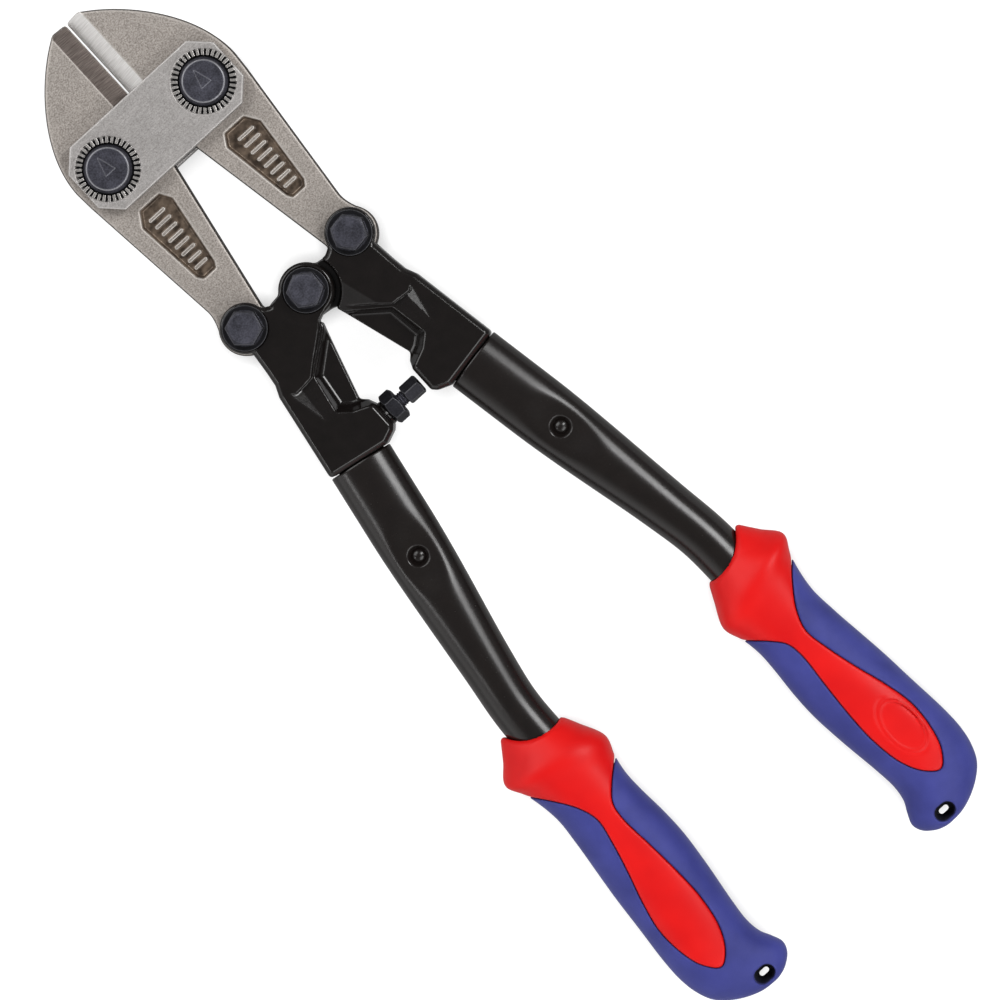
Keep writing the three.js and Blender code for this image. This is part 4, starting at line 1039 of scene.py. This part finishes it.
def core_shape(x, y, z):
    body = grip_body(x, y, z)
    body = common(body, outside(hard_outline, x, y) + groove(body), SEAM_EDGE)
    badge_x, badge_y = BEND + BADGE_AT
    oval = np.hypot((x - badge_x) / BADGE_HALF[0], (y - badge_y) / BADGE_HALF[1])
    oval = (oval - 1) * BADGE_HALF[0]
    body = common(body, -common(oval, GRIP_HALF_HEIGHT - BADGE_DEPTH - z, 0.3), 0.4)
    ring = np.hypot(oval + 0.9, z - (GRIP_HALF_HEIGHT - BADGE_DEPTH)) - 0.3
    body = joined(body, ring, 0.3)
    return common(body, -tube_room(x, y, z, 0.3), 0.5)


def lanyard_hole(x, y):
    """Distance from the rim of the lanyard hole."""
    hole_x, hole_y = BEND + LANYARD_AT
    beside = np.maximum(abs(x - hole_x) - LANYARD_HALF_LENGTH + LANYARD_HALF_WIDTH, 0)
    return np.hypot(beside, y - hole_y) - LANYARD_HALF_WIDTH


def overmould_shape(x, y, z):
    body = grip_body(x, y, z)
    body = common(body, groove(body) - outside(hard_outline, x, y), SEAM_EDGE)
    draft = LANYARD_DRAFT * np.clip(DRAFT_START - abs(z), 0, DRAFT_START)
    body = common(body, -lanyard_hole(x, y) - draft, 0.6)
    return common(body, -common(tube_room(x, y, z, 0.6), BEND[1] - TUBE_ROOM_LENGTH - y), 0.3)


# Red glass-filled nylon: bright even red with a fine spark-eroded texture from the mould,
# which spreads highlights softly, and the faint flow of the resin in it.
red_nylon, tree, shader, place = new_material("moulded_red_nylon")
grain = noise(tree, place, 0.5, 3.0)
looks(tree, shader, Base_Color=ramp(tree, noise(tree, place, 16), "#d90b0e", "#e91311", 0.3, 0.7),
      Roughness=between(tree, grain, 0.36, 0.5), Normal=relief(tree, grain, 0.3, 0.05),
      IOR=1.5, Specular_IOR_Level=0.25)

# Blue thermoplastic rubber: matt and soft to look at, a fine even grain, a pale bloom at
# glancing angles. The inside of the lanyard hole is painted near black as shade.
blue_rubber, tree, shader, place = new_material("moulded_blue_rubber")
grain = noise(tree, place, 0.4, 3.0)
blue = ramp(tree, noise(tree, place, 12, 3.0), "#2b317f", "#3a4095", 0.3, 0.7)
looks(tree, shader, Base_Color=blend(tree, mark(tree, "lanyard_hole_shade"), blue, colour("#0c0d20")),
      Roughness=between(tree, grain, 0.55, 0.72), Normal=relief(tree, grain, 0.45, 0.06),
      IOR=1.5, Sheen_Weight=0.1, Sheen_Roughness=0.4)

grip_low = (BEND[0] - 22, BEND[1] - 116, -14)
grip_high = (BEND[0] + 22, BEND[1] - 2, 14)
for shot, shape, finish, slot in (("core", core_shape, red_nylon, "grip_plastic"),
                                  ("overmould", overmould_shape, blue_rubber, "grip_rubber")):
    shot_skin = skin(shape, grip_low, grip_high, 0.46)
    # painted shade: the lanyard hole's wall is marked to be painted near black
    shot_marks = {"lanyard_hole_shade": np.clip(0.15 - lanyard_hole(*shot_skin[0].T[:2]), 0, 0.4) / 0.4}
    for side in ("right", "left"):
        name = f"{side}_grip_{shot}_moulding"
        piece = made_piece(name, shot_skin, finish, shot_marks, turned=side == "left")
        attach(piece, f"handle_{side}")
        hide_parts(f"{side}_grip_{shot}")


# ------------------------ table, lamps, camera
# The tool lies on a plain white table under soft studio light: a broad softbox beyond the
# tips and another beyond the grips, a narrow bright one on the right, a small one on the
# left, and a pale surround that is brightest low on the left. The camera looks almost
# straight down with the tool's tips at the upper left.

TABLE_SIZE = 6.0
table = placed("table", bpy.data.meshes.new("table"))
h = TABLE_SIZE / 2
table.data.from_pydata([(-h, -h, 0), (h, -h, 0), (h, h, 0), (-h, h, 0)], [], [(0, 1, 2, 3)])

# Matt white card, lit from below so that it shows clean white. The light in it is weak for
# what the tool reflects, and dies away close under the tool, where soft shadows lie.
white_card, tree, shader, place = new_material("matt_white_card")
seen = add(tree, "ShaderNodeLightPath").outputs["Is Camera Ray"]
open_above = add(tree, "ShaderNodeAmbientOcclusion", {"samples": 8}, Distance=0.007).outputs["AO"]
looks(tree, shader, Base_Color=ramp(tree, noise(tree, place, 2), "#989898", "#9e9e9e"), Roughness=0.9,
      Specular_IOR_Level=0.0, Emission_Color=(1, 1, 1, 1),
      Emission_Strength=sum_of(tree, "MULTIPLY", between(tree, seen, 0.15, 0.92), open_above))
table.data.materials.append(white_card)


def softbox(name, centre, width, height, power):
    """A rectangular area lamp turned to the middle of the table."""
    lamp = bpy.data.lights.new(name, "AREA")
    lamp.shape = "RECTANGLE"
    lamp.size, lamp.size_y, lamp.energy = width, height, power
    holder = placed(name, lamp)
    holder.location = centre
    holder.rotation_euler = (-Vector(centre)).to_track_quat("-Z", "Y").to_euler()


softbox("tips_softbox", (-0.25, 1.35, 1.45), 1.6, 0.9, 15)
softbox("grips_softbox", (0.25, -1.35, 1.45), 1.6, 0.9, 15)
softbox("long_right_softbox", (1.15, -0.04, 1.24), 0.47, 0.66, 12.5)
softbox("small_left_softbox", (-1.25, 0.27, 1.06), 0.24, 0.24, 1.1)

# The surround is a weak even light, with a brighter wall low on the left.
SURROUND, LEFT_WALL = 0.16, 0.9
world = bpy.data.worlds.new("studio")
bpy.context.scene.world = world
world.use_nodes = True
tree = world.node_tree
direction = add(tree, "ShaderNodeTexCoord").outputs["Generated"]
parts = add(tree, "ShaderNodeSeparateXYZ", Vector=direction)
leftward = add(tree, "ShaderNodeMapRange", Value=parts.outputs["X"], From_Min=0.3, From_Max=-0.6,
               To_Min=0.0, To_Max=LEFT_WALL)
low_down = add(tree, "ShaderNodeMapRange", Value=parts.outputs["Z"], From_Min=0.75, From_Max=0.35)
wall = sum_of(tree, "MULTIPLY_ADD", leftward.outputs["Result"], low_down.outputs["Result"], SURROUND)
looks(tree, tree.nodes["Background"], Color=(1, 1, 1, 1), Strength=wall)

VIEW_WIDTH = 0.300
CAMERA_DISTANCE = 1.6
CAMERA_LEAN = math.radians(2.5)
AIM_FROM_ORIGIN = (0.0003, -0.1519, 0)
PICTURE_RIGHT = (0.740, -0.673, 0)
aim = Vector(DRAWING_ORIGIN) + Vector(AIM_FROM_ORIGIN)
back = Vector((math.sin(CAMERA_LEAN), 0, math.cos(CAMERA_LEAN)))
right = Vector(PICTURE_RIGHT)
right = (right - right.dot(back) * back).normalized()
up = back.cross(right)
camera_data = bpy.data.cameras.new("camera")
camera_data.sensor_width = 36
camera_data.lens = 36 * CAMERA_DISTANCE / VIEW_WIDTH
camera_data.clip_start, camera_data.clip_end = 0.1, 20
camera = placed("camera", camera_data)
facing = Matrix((right, up, back)).transposed().to_4x4()
camera.matrix_world = Matrix.Translation(aim + back * CAMERA_DISTANCE) @ facing
bpy.context.scene.camera = camera
bpy.context.scene.view_settings.view_transform = "Standard"
bpy.context.scene.view_settings.look = "None"
